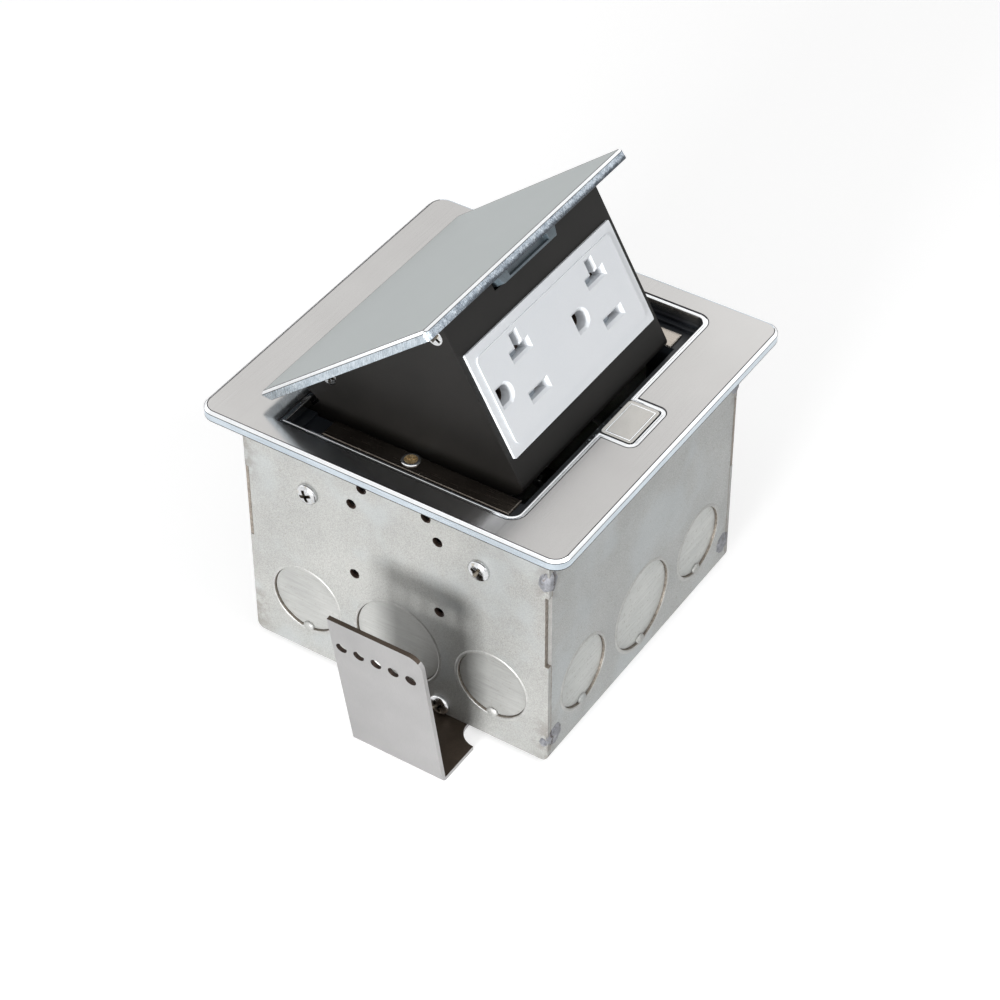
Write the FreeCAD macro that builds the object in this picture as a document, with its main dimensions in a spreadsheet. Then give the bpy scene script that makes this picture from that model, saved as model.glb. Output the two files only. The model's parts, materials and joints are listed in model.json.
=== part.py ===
import FreeCAD, Part
import os
import re
import Sketcher
from math import cos, pi, sin

# Driving sizes, in millimetres and degrees
SIZES = {
    # cover plate and gasket
    "plate_overhang": 8.7,
    "plate_thickness": 3.2,
    "plate_corner": 5.0,
    "plate_bevel": 0.8,
    "opening_front": 39.3,
    "opening_rear": 35.5,
    "opening_corner": 3.0,
    "rim_band": 1.5,
    "rim_step": 0.2,
    "notch_width": 16.6,
    "notch_depth": 10.3,
    "notch_corner": 1.4,
    "gasket_thickness": 0.8,
    "gasket_inset": 2.5,
    "gasket_gap": 0.4,
    # sheet-metal box
    "opening_setback": 0.45,
    "front_wall": 0.8,
    "rear_room": 15.7,
    "box_height": 82.2,
    "box_sheet": 1.6,
    "box_bend": 2.4,
    "seam_slot_top": 19.7,
    "seam_slot_length": 26.0,
    "seam_slot_depth": 1.2,
    "knockout_spacing": 32.0,
    "knockout_height": 20.4,
    "small_knockout": 11.3,
    "large_knockout": 14.1,
    "knockout_gap": 0.15,
    "knockout_recess": 0.7,
    "wall_screw_spacing": 28.65,
    "wall_screw_depth": 19.65,
    "tapped_radius": 1.6,
    "upper_tapped_spacing": 14.4,
    "upper_tapped_depth": 16.7,
    "top_tapped_spacing": 10.7,
    "top_tapped_depth": 9.6,
    "lower_tapped_depth": 43.1,
    "ground_screw_place": 24.0,
    # moulded frame
    "well_gap": 1.5,
    "flange_thickness": 1.6,
    "flange_lip": 0.8,
    "ledge_width": 1.6,
    "ledge_drop": 1.0,
    "gutter_width": 2.25,
    "gutter_drop": 1.0,
    "seat_width": 6.2,
    "sill_width": 1.7,
    "collar_depth": 3.4,
    "collar_fit": 0.4,
    "block_gap": 1.4,
    "block_setback": 2.6,
    "block_cover": 6.0,
    "block_length": 7.0,
    "rear_strip": 2.2,
    "boss_width": 9.0,
    "boss_depth": 4.8,
    "boss_cover": 5.8,
    "latch_house_width": 28.0,
    "latch_house_depth": 9.3,
    # side rails
    "rail_width": 6.7,
    "rail_end_gap": 1.0,
    "rail_block_gap": 5.7,
    "rail_thickness": 0.7,
    "rail_edge": 0.25,
    "rail_screw_inset": 3.95,
    # brackets
    "bracket_sheet": 1.4,
    "bracket_width": 30.7,
    "bracket_place": 14.05,
    "bracket_reach": 21.5,
    "bracket_leg": 56.3,
    "bracket_lean": 9.4,
    "bracket_bend": 2.4,
    "bracket_notch": 6.2,
    "bracket_tab": 7.0,
    "bracket_corner": 4.5,
    "bracket_hole": 1.75,
    "bracket_hole_pitch": 5.72,
    "bracket_hole_height": 45.1,
    "bracket_screw_height": 3.6,
    # hinge
    "pivot_setback": 9.7,
    "pivot_depth": 10.0,
    "open_angle": 39.3,
    "rod_radius": 2.0,
    "rod_end_gap": 1.8,
    "rod_clearance": 0.05,
    "hub_radius": 3.9,
    "throat_gap": 0.6,
    "stop_gap": 1.1,
    "arm_depth": 9.0,
    "arm_root": 5.0,
    # lid and carrier, in the closed position
    "lid_side_gap": 1.35,
    "lid_thickness": 3.2,
    "lid_bevel": 0.8,
    "lid_front_gap": 1.1,
    "lid_rear_gap": 1.65,
    "lid_rear_slope": 2.5,
    "lid_corner": 1.6,
    "bar_width": 4.0,
    "bar_height": 6.0,
    "bar_setback": 9.3,
    "bar_rear_gap": 13.5,
    "carrier_sheet": 1.2,
    "carrier_bend": 1.8,
    "face_lean": 10.0,
    "face_setback": 11.5,
    "face_depth": 26.2,
    "face_drop": 25.9,
    "return_depth": 30.0,
    "side_rear_gap": 9.5,
    "side_top_gap": 4.0,
    "side_drop": 24.0,
    "face_notch_gap": 0.3,
    "window_gap": 0.4,
    "lid_screw_setback": 11.7,
    "lid_screw_rear_gap": 17.0,
    "lid_screw_depth": 2.2,
    # latch
    "button_width": 16.0,
    "button_length": 10.0,
    "button_height": 2.8,
    "button_gap": 0.25,
    "button_corner": 1.2,
    "border_inset": 0.9,
    "border_width": 0.5,
    "border_depth": 0.3,
    "stem_width": 8.0,
    "stem_setback": 0.8,
    "stem_length": 2.4,
    "stem_foot": 7.0,
    "cam_foot": 4.2,
    "cam_height": 3.5,
    "press_travel": 1.2,
    "bolt_depth": 1.4,
    "bolt_thickness": 2.0,
    "bolt_width": 18.0,
    "bolt_tail_width": 11.2,
    "bolt_reach": 4.3,
    "bolt_shoulder_setback": 1.7,
    "bolt_tail_setback": 7.1,
    "bolt_bar": 0.8,
    "bolt_gap": 0.3,
    "catch_width": 29.2,
    "catch_setback": 4.6,
    "catch_length": 6.1,
    "catch_height": 3.4,
    "catch_recess": 2.1,
    "catch_slant": 1.7,
    "catch_end": 3.2,
    "catch_lip": 0.7,
    # receptacle
    "cover_lap": 2.8,
    "cover_rise": 2.25,
    "cover_thickness": 0.8,
    "cover_corner": 0.5,
    "panel_inset": 2.6,
    "panel_rise": 0.4,
    "panel_corner": 2.0,
    "shell_width": 66.4,
    "shell_step": 1.0,
    "shell_depth": 22.0,
    "shell_wall": 1.6,
    "snout_height": 28.0,
    "snout_depth": 6.0,
    "outlet_spacing": 38.1,
    "ground_edge": 4.4,
    "blade_spacing": 12.7,
    "blade_slot_length": 7.8,
    "blade_slot_width": 2.1,
    "tee_stem_length": 4.2,
    "ground_distance": 11.9,
    "ground_radius": 2.5,
    "ground_flat": 2.6,
    "slot_chamfer": 0.8,
    "shell_round": 2.0,
    "strap_sheet": 1.2,
    "strap_width": 10.0,
    "strap_ear": 3.2,
    "ear_gap": 0.3,
    "strap_fit": 0.1,
    "strap_screw_spacing": 40.0,
    "contact_sheet": 0.8,
    "contact_width": 4.4,
    "contact_height": 13.0,
    "contact_end": 2.6,
    "contact_leaf": 2.4,
    "terminal_spacing": 26.0,
    "terminal_depth": 15.0,
    # fasteners
    "machine_shank": 2.0,
    "machine_head": 3.4,
    "machine_head_height": 2.0,
    "small_shank": 1.4,
    "small_head": 2.4,
    "small_head_height": 1.3,
    "rail_screw_head": 0.45,
    "rail_screw_reach": 2.0,
    "screw_tip": 1.5,
    "screw_gap": 0.05,
    # springs
    "lift_coil": 3.0,
    "lift_wire": 0.5,
    "lift_pitch": 1.5,
    "lift_length": 6.0,
    "lift_gap": 3.8,
    "press_coil": 1.0,
    "press_wire": 0.22,
    "press_pitch": 1.2,
    "bolt_coil": 0.85,
    "bolt_wire": 0.2,
    "bolt_pitch": 1.2,
    "bolt_coil_place": 7.3,
}

# Sizes that follow from the driving ones, so that the pieces keep together
DERIVED = {
    "carrier_width": "shell_width + 2 * (strap_fit + strap_ear + ear_gap + carrier_sheet)",
    "opening_width": "carrier_width + 2 * (well_gap + seat_width + gutter_width + ledge_width + flange_lip)",
    "box_width": "opening_width + 2 * opening_setback",
    "box_length": "opening_front + notch_depth + front_wall + opening_rear + rear_room",
    "box_offset": "(opening_rear + rear_room - opening_front - notch_depth - front_wall) / 2",
    "plate_width": "box_width + 2 * plate_overhang",
    "plate_length": "box_length + 2 * plate_overhang",
    "lid_width": "opening_width - 2 * lid_side_gap",
    "block_front": "opening_rear - block_setback",
    "pivot_place": "opening_rear + pivot_setback",
    "rod_length": "box_width - 2 * (box_sheet + collar_fit + rod_end_gap)",
    "lift_place": "carrier_width / 2 - carrier_sheet - lift_length - lift_gap",
    "bar_start": "opening_front - bar_setback",
    "bar_end": "opening_rear - bar_rear_gap",
    "face_place": "opening_front - face_setback",
    "side_rear": "opening_rear - side_rear_gap",
    "side_top_rear": "opening_rear - side_top_gap",
    "lid_screw_front": "opening_front - lid_screw_setback",
    "lid_screw_rear": "opening_rear - lid_screw_rear_gap",
    "stem_rear": "opening_front + stem_setback",
    "stem_front": "opening_front + stem_setback + stem_length",
    "bolt_nose": "opening_front - bolt_reach",
    "bolt_shoulder": "opening_front + bolt_shoulder_setback",
    "bolt_tail": "opening_front + bolt_tail_setback",
    "catch_front": "opening_front - catch_setback",
    "face_notch_width": "catch_width + 2 * face_notch_gap",
    "face_notch_depth": "catch_height + face_notch_gap",
    "shell_height": "snout_height + 2 * shell_step",
    "cover_width": "shell_width + 2 * cover_lap",
    "outlet_place": "shell_width / 2 - ground_edge - ground_distance",
    "cover_height": "snout_height + 2 * cover_rise",
    "window_width": "shell_width + 2 * window_gap",
    "window_height": "snout_height + 2 * window_gap",
}

# Derived heights and places, as expressions
PLATE_TOP = "(gasket_thickness + plate_thickness)"
BOX_TOP = "(gasket_thickness - flange_thickness)"
BOX_BASE = "(gasket_thickness - flange_thickness - box_height)"
BOX_FRONT = "(box_offset - box_length / 2)"
BOX_REAR = "(box_offset + box_length / 2)"
BOX_INNER = "(box_width / 2 - box_sheet)"
COLLAR_X = "(box_width / 2 - box_sheet - collar_fit)"
COLLAR_FRONT = "(box_offset - box_length / 2 + box_sheet + collar_fit)"
COLLAR_REAR = "(box_offset + box_length / 2 - box_sheet - collar_fit)"
COLLAR_BASE = "(gasket_thickness - flange_thickness - collar_depth)"
LEDGE_X = "(opening_width / 2 - flange_lip)"
LEDGE_FRONT = "(flange_lip - opening_front)"
LEDGE_TOP = "(gasket_thickness - ledge_drop)"
GUTTER_X = "(opening_width / 2 - flange_lip - ledge_width)"
GUTTER_FRONT = "(flange_lip + ledge_width - opening_front)"
GUTTER_TOP = "(gasket_thickness - ledge_drop - gutter_drop)"
RAIL_X = "(opening_width / 2 - flange_lip - ledge_width - gutter_width)"
WELL_X = "(opening_width / 2 - flange_lip - ledge_width - gutter_width - seat_width)"
WELL_FRONT = "(flange_lip + ledge_width + sill_width - opening_front)"
RAIL_TOP = "(gasket_thickness - ledge_drop - gutter_drop + rail_thickness)"
RAIL_FRONT = "(flange_lip + ledge_width + sill_width + rail_end_gap - opening_front)"
BLOCK_X = "(carrier_width / 2 + block_gap)"
LID_UNDER = "(gasket_thickness + plate_thickness - lid_thickness)"
LID_FRONT = "(lid_front_gap - opening_front)"
LID_REAR = "(opening_rear - lid_rear_gap)"
BUTTON_FRONT = "(button_gap - opening_front - notch_depth)"
BUTTON_UNDER = "(gasket_thickness + plate_thickness - button_height)"
BOLT_TOP = "(-bolt_depth)"
BOLT_BASE = "(-bolt_depth - bolt_thickness)"
SLOT_TOP = "(bolt_gap - bolt_depth)"
SPRING_FLOOR = "(gasket_thickness - flange_thickness - collar_depth - latch_house_depth + 1.2)"
COVER_TOP = "(cover_thickness + panel_rise)"
SHELL_BACK = "(-snout_depth - shell_depth)"
SHELL_FLOOR = "(shell_wall - snout_depth - shell_depth)"
STRAP_BACK = "(-snout_depth - shell_depth - strap_sheet)"

# Pose of the raised pieces, and of the receptacle on the carrier's face
HINGE_POINT = "vector(0; pivot_place; -pivot_depth)"
RAISED = f"placement(vector(0; 0; 0); rotation(vector(1; 0; 0); -open_angle); {HINGE_POINT})"
FACE = "placement(vector(0; -face_place; -face_depth); rotation(vector(1; 0; 0); 90 + face_lean))"
ON_FACE = f"{RAISED} * {FACE}"
TURNS = {
    "+x": "rotation(vector(0; 1; 0); 90)",
    "-x": "rotation(vector(0; 1; 0); -90)",
    "+y": "rotation(vector(1; 0; 0); -90)",
    "-y": "rotation(vector(1; 0; 0); 90)",
    "+z": "rotation(vector(0; 0; 1); 0)",
    "-z": "rotation(vector(1; 0; 0); 180)",
}
OPPOSITE = {"+x": "-x", "-x": "+x", "+y": "-y", "-y": "+y", "+z": "-z", "-z": "+z"}

doc = FreeCAD.newDocument("popup_outlet")
sheet = doc.addObject("Spreadsheet::Sheet", "Sizes")
for row, (name, value) in enumerate(SIZES.items(), 1):
    sheet.set(f"A{row}", name)
    sheet.set(f"B{row}", str(value))
    sheet.setAlias(f"B{row}", name)
doc.recompute()


def bound(text):
    """The expression with each size name pointing at its cell."""
    def cell(match):
        word = match.group()
        if word in DERIVED:
            return f"({bound(DERIVED[word])})"
        return f"Sizes.{word}" if word in SIZES else word
    return re.sub(r"[a-z_]+", cell, text)


def minus(text):
    """The expression with its sign turned."""
    return f"(-({text}))"


def new_body(label, pose=None):
    """An empty body, in the given pose."""
    body = doc.addObject("PartDesign::Body", label)
    body.Label = label
    if pose:
        body.setExpression("Placement", bound(pose))
    return body


def new_sketch(body, plane, offset="0"):
    """A sketch on one of the body's own planes, moved along the plane's normal."""
    item = body.newObject("Sketcher::SketchObject", f"{body.Name}_sketch")
    support = [entry for entry in body.Origin.OriginFeatures if entry.Role == plane][0]
    item.AttachmentSupport = [(support, "")]
    item.MapMode = "FlatFace"
    item.setExpression("AttachmentOffset.Base.z", bound(offset))
    return item


def pin_point(item, geometry, place, x, y):
    """Two sizes that hold a sketch point."""
    for kind, text in (("DistanceX", x), ("DistanceY", y)):
        number = item.addConstraint(Sketcher.Constraint(kind, -1, 1, geometry, place, 1.0))
        item.setExpression(f"Constraints[{number}]", bound(text))


def outline(item, points):
    """A closed polygon through points given as expressions."""
    first = item.GeometryCount
    count = len(points)
    ring = [FreeCAD.Vector(cos(2 * pi * i / count), sin(2 * pi * i / count), 0) for i in range(count)]
    for i in range(count):
        item.addGeometry(Part.LineSegment(ring[i], ring[(i + 1) % count]))
    for i in range(count):
        item.addConstraint(Sketcher.Constraint("Coincident", first + i, 2, first + (i + 1) % count, 1))
    for i, (x, y) in enumerate(points):
        pin_point(item, first + i, 1, x, y)


def rectangle(item, x_low, x_high, y_low, y_high):
    """A rectangle between four expressions."""
    outline(item, [(x_low, y_low), (x_high, y_low), (x_high, y_high), (x_low, y_high)])


def disc(item, x, y, radius):
    """A circle given by expressions."""
    number = item.addGeometry(Part.Circle(FreeCAD.Vector(1, 1, 0), FreeCAD.Vector(0, 0, 1), 1.0))
    pin_point(item, number, 3, x, y)
    size = item.addConstraint(Sketcher.Constraint("Radius", number, 1.0))
    item.setExpression(f"Constraints[{size}]", bound(radius))


def pad(body, item, length, turned=False):
    """Material along the sketch's normal, or against it."""
    feature = body.newObject("PartDesign::Pad", f"{body.Name}_pad")
    feature.Profile = item
    feature.Reversed = turned
    feature.setExpression("Length", bound(length))
    item.Visibility = False
    return feature


def pocket(body, item, length):
    """A cut against the sketch's normal."""
    feature = body.newObject("PartDesign::Pocket", f"{body.Name}_pocket")
    feature.Profile = item
    feature.setExpression("Length", bound(length))
    item.Visibility = False
    return feature


def edge_names(feature, wanted):
    """Names of the edges of a feature that pass a test."""
    doc.recompute()
    return [f"Edge{i}" for i, edge in enumerate(feature.Shape.Edges, 1) if wanted(edge)]


def round_edges(body, radius, wanted):
    """Rounded edges on the body's last feature."""
    base = body.Tip
    names = edge_names(base, wanted)
    feature = body.newObject("PartDesign::Fillet", f"{body.Name}_round")
    feature.Base = (base, names)
    feature.setExpression("Radius", bound(radius))
    return feature


def bevel_edges(body, size, wanted):
    """Bevelled edges on the body's last feature."""
    base = body.Tip
    names = edge_names(base, wanted)
    feature = body.newObject("PartDesign::Chamfer", f"{body.Name}_bevel")
    feature.Base = (base, names)
    feature.setExpression("Size", bound(size))
    return feature


def along(edge, axis):
    """Whether an edge is straight and runs along x, y or z."""
    spans = (edge.BoundBox.XLength, edge.BoundBox.YLength, edge.BoundBox.ZLength)
    rest = [span for place, span in enumerate(spans) if place != "xyz".index(axis)]
    return max(rest) < 1e-6 and spans["xyz".index(axis)] > 1e-6


def level(edge, height):
    """Whether an edge lies flat at a height."""
    return edge.BoundBox.ZLength < 1e-6 and abs(edge.BoundBox.ZMin - height) < 1e-4


def upright(edge):
    """Whether an edge runs along z."""
    return along(edge, "z")


def at_corners(item, axis, *places):
    """A test for edges along an axis that stand on numbered corners of a sketch."""
    doc.recompute()
    corners = [item.Geometry[place].StartPoint for place in places]

    def wanted(edge):
        centre = edge.CenterOfMass
        flat = {"x": (centre.y, centre.z), "y": (centre.x, centre.z), "z": (centre.x, centre.y)}[axis]
        near = [abs(flat[0] - point.x) + abs(flat[1] - point.y) < 0.001 for point in corners]
        return along(edge, axis) and any(near)
    return wanted


def spot(x, y, z, way, pose=None):
    """A placement expression at a point, with local z turned along a direction."""
    local = f"placement(vector({x}; {y}; {z}); {TURNS[way]})"
    return f"{pose} * {local}" if pose else local


def cylinder(name, radius, height, place):
    """A cylinder from a placed point along its local z."""
    item = doc.addObject("Part::Cylinder", name)
    item.setExpression("Radius", bound(radius))
    item.setExpression("Height", bound(height))
    item.setExpression("Placement", bound(place))
    return item


def cone(name, low, high, height, place):
    """A cone frustum from a placed point along its local z."""
    item = doc.addObject("Part::Cone", name)
    item.setExpression("Radius1", bound(low))
    item.setExpression("Radius2", bound(high))
    item.setExpression("Height", bound(height))
    item.setExpression("Placement", bound(place))
    return item


def screw(name, point, way, head, head_height, shank, length, pose=None):
    """A pan-head screw: the head stands out along a direction from its seat point."""
    top = cone(f"{name}_head", head, f"{head} * 0.8", head_height, spot(*point, way, pose))
    stem = cylinder(f"{name}_shank", shank, length, spot(*point, OPPOSITE[way], pose))
    item = doc.addObject("Part::Fuse", name)
    item.Base = top
    item.Tool = stem
    return item


def group(label, pieces):
    """Several alike pieces as one sub-part."""
    item = doc.addObject("Part::Compound", label)
    item.Label = label
    item.Links = pieces
    return item


def coil(name, radius, wire, pitch, length, place):
    """A helical spring of six-sided wire from a placed point along its local z."""
    path = doc.addObject("Part::Helix", f"{name}_path")
    path.setExpression("Radius", bound(radius))
    path.setExpression("Pitch", bound(pitch))
    path.setExpression("Height", bound(length))
    path.setExpression("Placement", bound(place))
    ring = doc.addObject("Part::RegularPolygon", f"{name}_ring")
    ring.Polygon = 6
    ring.setExpression("Circumradius", bound(wire))
    across = f"placement(vector({radius}; 0; 0); rotation(vector(1; 0; 0); 90))"
    ring.setExpression("Placement", bound(f"{place} * {across}"))
    item = doc.addObject("Part::Sweep", name)
    item.Label = name
    item.Sections = [ring]
    item.Spine = (path, ["Edge1"])
    item.Solid = True
    item.Frenet = True
    return item


def number(text):
    """The value of a size."""
    return SIZES[text]


# Cover plate: bevelled square with the lid opening and the button notch
plate = new_body("cover_plate")
sketch = new_sketch(plate, "XY_Plane", "gasket_thickness")
rectangle(sketch, "-plate_width / 2", "plate_width / 2", "-plate_length / 2", "plate_length / 2")
pad(plate, sketch, "plate_thickness")
round_edges(plate, "plate_corner", upright)
sketch = new_sketch(plate, "XY_Plane", PLATE_TOP)
notch_front = "(-opening_front - notch_depth)"
outline(sketch, [
    ("-opening_width / 2", "-opening_front"),
    ("-notch_width / 2", "-opening_front"),
    ("-notch_width / 2", notch_front),
    ("notch_width / 2", notch_front),
    ("notch_width / 2", "-opening_front"),
    ("opening_width / 2", "-opening_front"),
    ("opening_width / 2", "opening_rear"),
    ("-opening_width / 2", "opening_rear"),
])
pocket(plate, sketch, "plate_thickness")
round_edges(plate, "opening_corner", at_corners(sketch, "z", 0, 5))
round_edges(plate, "notch_corner", at_corners(sketch, "z", 2, 3))
sketch = new_sketch(plate, "XY_Plane", PLATE_TOP)
band_x = "(opening_width / 2 + rim_band)"
band_front = "(-opening_front - rim_band)"
band_notch = "(notch_width / 2 + rim_band)"
outline(sketch, [
    (minus(band_x), band_front),
    (minus(band_notch), band_front),
    (minus(band_notch), f"{notch_front} - rim_band"),
    (band_notch, f"{notch_front} - rim_band"),
    (band_notch, band_front),
    (band_x, band_front),
    (band_x, "opening_rear + rim_band"),
    (minus(band_x), "opening_rear + rim_band"),
])
pocket(plate, sketch, "rim_step")
round_edges(plate, "opening_corner + rim_band", at_corners(sketch, "z", 0, 5))
round_edges(plate, "notch_corner + rim_band", at_corners(sketch, "z", 2, 3))
doc.recompute()
plate_top = number("gasket_thickness") + number("plate_thickness")
whole = plate.Tip.Shape.BoundBox


def on_outer_rim(edge):
    """Whether an edge is on the plate's outer top rim."""
    box = edge.BoundBox
    outside = min(box.XMin - whole.XMin, box.YMin - whole.YMin, whole.XMax - box.XMax, whole.YMax - box.YMax)
    return level(edge, plate_top) and outside < 0.001


bevel_edges(plate, "plate_bevel", on_outer_rim)

# Gasket ring between the plate and the worktop
gasket = new_body("flange_gasket")
sketch = new_sketch(gasket, "XY_Plane")
gasket_x = "(plate_width / 2 - gasket_inset)"
gasket_y = "(plate_length / 2 - gasket_inset)"
rectangle(sketch, minus(gasket_x), gasket_x, minus(gasket_y), gasket_y)
inner_x = "(box_width / 2 + gasket_gap)"
rectangle(sketch, minus(inner_x), inner_x, f"{BOX_FRONT} - gasket_gap", f"{BOX_REAR} + gasket_gap")
pad(gasket, sketch, "gasket_thickness")

# Moulded frame: flange on the box rim, collar, ledge, gutter and rail seats
frame = new_body("inner_frame")
sketch = new_sketch(frame, "XY_Plane", BOX_TOP)
rectangle(sketch, "-box_width / 2", "box_width / 2", BOX_FRONT, BOX_REAR)
pad(frame, sketch, "flange_thickness")
sketch = new_sketch(frame, "XY_Plane", BOX_TOP)
rectangle(sketch, minus(COLLAR_X), COLLAR_X, COLLAR_FRONT, COLLAR_REAR)
pad(frame, sketch, "collar_depth", True)

# Hinge blocks, screw bosses and the latch house below the collar
sketch = new_sketch(frame, "XY_Plane", COLLAR_BASE)
for low, high in ((minus(COLLAR_X), minus(BLOCK_X)), (BLOCK_X, COLLAR_X)):
    rectangle(sketch, low, high, "pivot_place - block_length", COLLAR_REAR)
pad(frame, sketch, f"pivot_depth + block_cover + {COLLAR_BASE}", True)
sketch = new_sketch(frame, "XY_Plane", COLLAR_BASE)
boss_x = f"({COLLAR_X} - boss_depth)"
for low, high in ((minus(COLLAR_X), minus(boss_x)), (boss_x, COLLAR_X)):
    for sign in ("-", "+"):
        middle = f"box_offset {sign} wall_screw_spacing"
        rectangle(sketch, low, high, f"{middle} - boss_width / 2", f"{middle} + boss_width / 2")
pad(frame, sketch, f"wall_screw_depth + boss_cover + {COLLAR_BASE}", True)
sketch = new_sketch(frame, "XY_Plane", COLLAR_BASE)
rectangle(sketch, "-latch_house_width / 2", "latch_house_width / 2", COLLAR_FRONT, WELL_FRONT)
pad(frame, sketch, "latch_house_depth", True)

# Stepped well: lip, ledge, gutter, rail seats and the way for the hinge arms
sketch = new_sketch(frame, "XY_Plane", "gasket_thickness")
rectangle(sketch, minus(LEDGE_X), LEDGE_X, LEDGE_FRONT, "opening_rear + flange_lip")
pocket(frame, sketch, "ledge_drop")
sketch = new_sketch(frame, "XY_Plane", LEDGE_TOP)
rectangle(sketch, minus(GUTTER_X), GUTTER_X, GUTTER_FRONT, "block_front")
pocket(frame, sketch, "gutter_drop")
sketch = new_sketch(frame, "XY_Plane", GUTTER_TOP)
rectangle(sketch, minus(WELL_X), WELL_X, WELL_FRONT, "block_front + 1")
pocket(frame, sketch, f"{GUTTER_TOP} - {COLLAR_BASE}")
sketch = new_sketch(frame, "XY_Plane", "gasket_thickness")
rectangle(sketch, minus(BLOCK_X), BLOCK_X, "block_front", f"{COLLAR_REAR} - rear_strip")
pocket(frame, sketch, f"gasket_thickness - {COLLAR_BASE}")

# Button well, bolt slot and stem hole in the front bar
sketch = new_sketch(frame, "XY_Plane", "gasket_thickness")
well_x = "(notch_width / 2 + 0.1)"
rectangle(sketch, minus(well_x), well_x, f"{notch_front} - 0.15", f"{LEDGE_FRONT} - 0.1")
pocket(frame, sketch, f"gasket_thickness - {SLOT_TOP}")
sketch = new_sketch(frame, "XY_Plane", SLOT_TOP)
slot_x = "(bolt_width / 2 + bolt_gap)"
rectangle(sketch, minus(slot_x), slot_x, f"{COLLAR_FRONT} + 0.4", f"{WELL_FRONT} + 1")
pocket(frame, sketch, "bolt_thickness + 2 * bolt_gap")
sketch = new_sketch(frame, "XY_Plane", BOLT_BASE)
hole_x = "(stem_width / 2 + bolt_gap)"
rectangle(sketch, minus(hole_x), hole_x, "-stem_front - 2.3", "-stem_rear + bolt_gap")
pocket(frame, sketch, f"{BOLT_BASE} - {SPRING_FLOOR}")

# Bores through the blocks and bosses, and the rail screw holes
sketch = new_sketch(frame, "YZ_Plane", "box_width / 2")
disc(sketch, "pivot_place", "-pivot_depth", "rod_radius + rod_clearance")
for sign in ("-", "+"):
    disc(sketch, f"box_offset {sign} wall_screw_spacing", "-wall_screw_depth", "machine_shank + screw_gap")
pocket(frame, sketch, "box_width")
sketch = new_sketch(frame, "XY_Plane", GUTTER_TOP)
rail_screw_x = f"({RAIL_X} - rail_screw_inset)"
for middle in (minus(rail_screw_x), rail_screw_x):
    disc(sketch, middle, "0", "small_shank + screw_gap")
pocket(frame, sketch, f"{GUTTER_TOP} - {COLLAR_BASE}")

# Side rails on their seats
for side, low, high, middle in (
    ("left", minus(RAIL_X), f"rail_width - {RAIL_X}", minus(rail_screw_x)),
    ("right", f"{RAIL_X} - rail_width", RAIL_X, rail_screw_x),
):
    rail = new_body(f"side_rail_{side}")
    sketch = new_sketch(rail, "XY_Plane", GUTTER_TOP)
    rectangle(sketch, low, high, RAIL_FRONT, "block_front - rail_block_gap")
    disc(sketch, middle, "0", "small_shank + screw_gap")
    pad(rail, sketch, "rail_thickness")
    doc.recompute()
    rail_top = rail.Tip.Shape.BoundBox.ZMax
    bevel_edges(rail, "rail_edge", lambda edge: level(edge, rail_top) and not edge.isClosed())

group("rail_screws", [
    screw(f"rail_screw_{i}", (middle, "0", RAIL_TOP), "+z", "small_head", "rail_screw_head", "small_shank",
          "rail_thickness + rail_screw_reach")
    for i, middle in enumerate((minus(rail_screw_x), rail_screw_x))
])

# Box wrap: front, base and rear in one bent sheet
wrap = new_body("box_wrap")
sketch = new_sketch(wrap, "YZ_Plane", minus(BOX_INNER))
outline(sketch, [
    (BOX_FRONT, BOX_TOP),
    (BOX_FRONT, BOX_BASE),
    (BOX_REAR, BOX_BASE),
    (BOX_REAR, BOX_TOP),
    (f"{BOX_REAR} - box_sheet", BOX_TOP),
    (f"{BOX_REAR} - box_sheet", f"{BOX_BASE} + box_sheet"),
    (f"{BOX_FRONT} + box_sheet", f"{BOX_BASE} + box_sheet"),
    (f"{BOX_FRONT} + box_sheet", BOX_TOP),
])
pad(wrap, sketch, f"2 * {BOX_INNER}")
round_edges(wrap, "box_bend", at_corners(sketch, "x", 1, 2))
round_edges(wrap, "box_bend - box_sheet", at_corners(sketch, "x", 5, 6))
sketch = new_sketch(wrap, "XZ_Plane", f"{minus(BOX_FRONT)} + 1")
knockout_z = f"({BOX_BASE} + knockout_height)"
for sign in ("-", "+"):
    disc(sketch, f"{sign}knockout_spacing", knockout_z, "small_knockout")
disc(sketch, "0", knockout_z, "large_knockout")
pocket(wrap, sketch, "box_length + 2")
sketch = new_sketch(wrap, "XY_Plane", f"{BOX_BASE} + box_sheet")
tongue = "(bracket_width / 2 - bracket_notch)"
slot_in = f"({BOX_INNER} - bracket_sheet - 0.2)"
for low, high, turn in ((minus(BOX_INNER), minus(slot_in), "-"), (slot_in, BOX_INNER, "+")):
    middle = f"({turn}bracket_place)"
    rectangle(sketch, low, high, f"{middle} - {tongue} - 0.2", f"{middle} + {tongue} + 0.2")
disc(sketch, "ground_screw_place", "ground_screw_place", "machine_shank + screw_gap")
pocket(wrap, sketch, "box_sheet")

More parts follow.
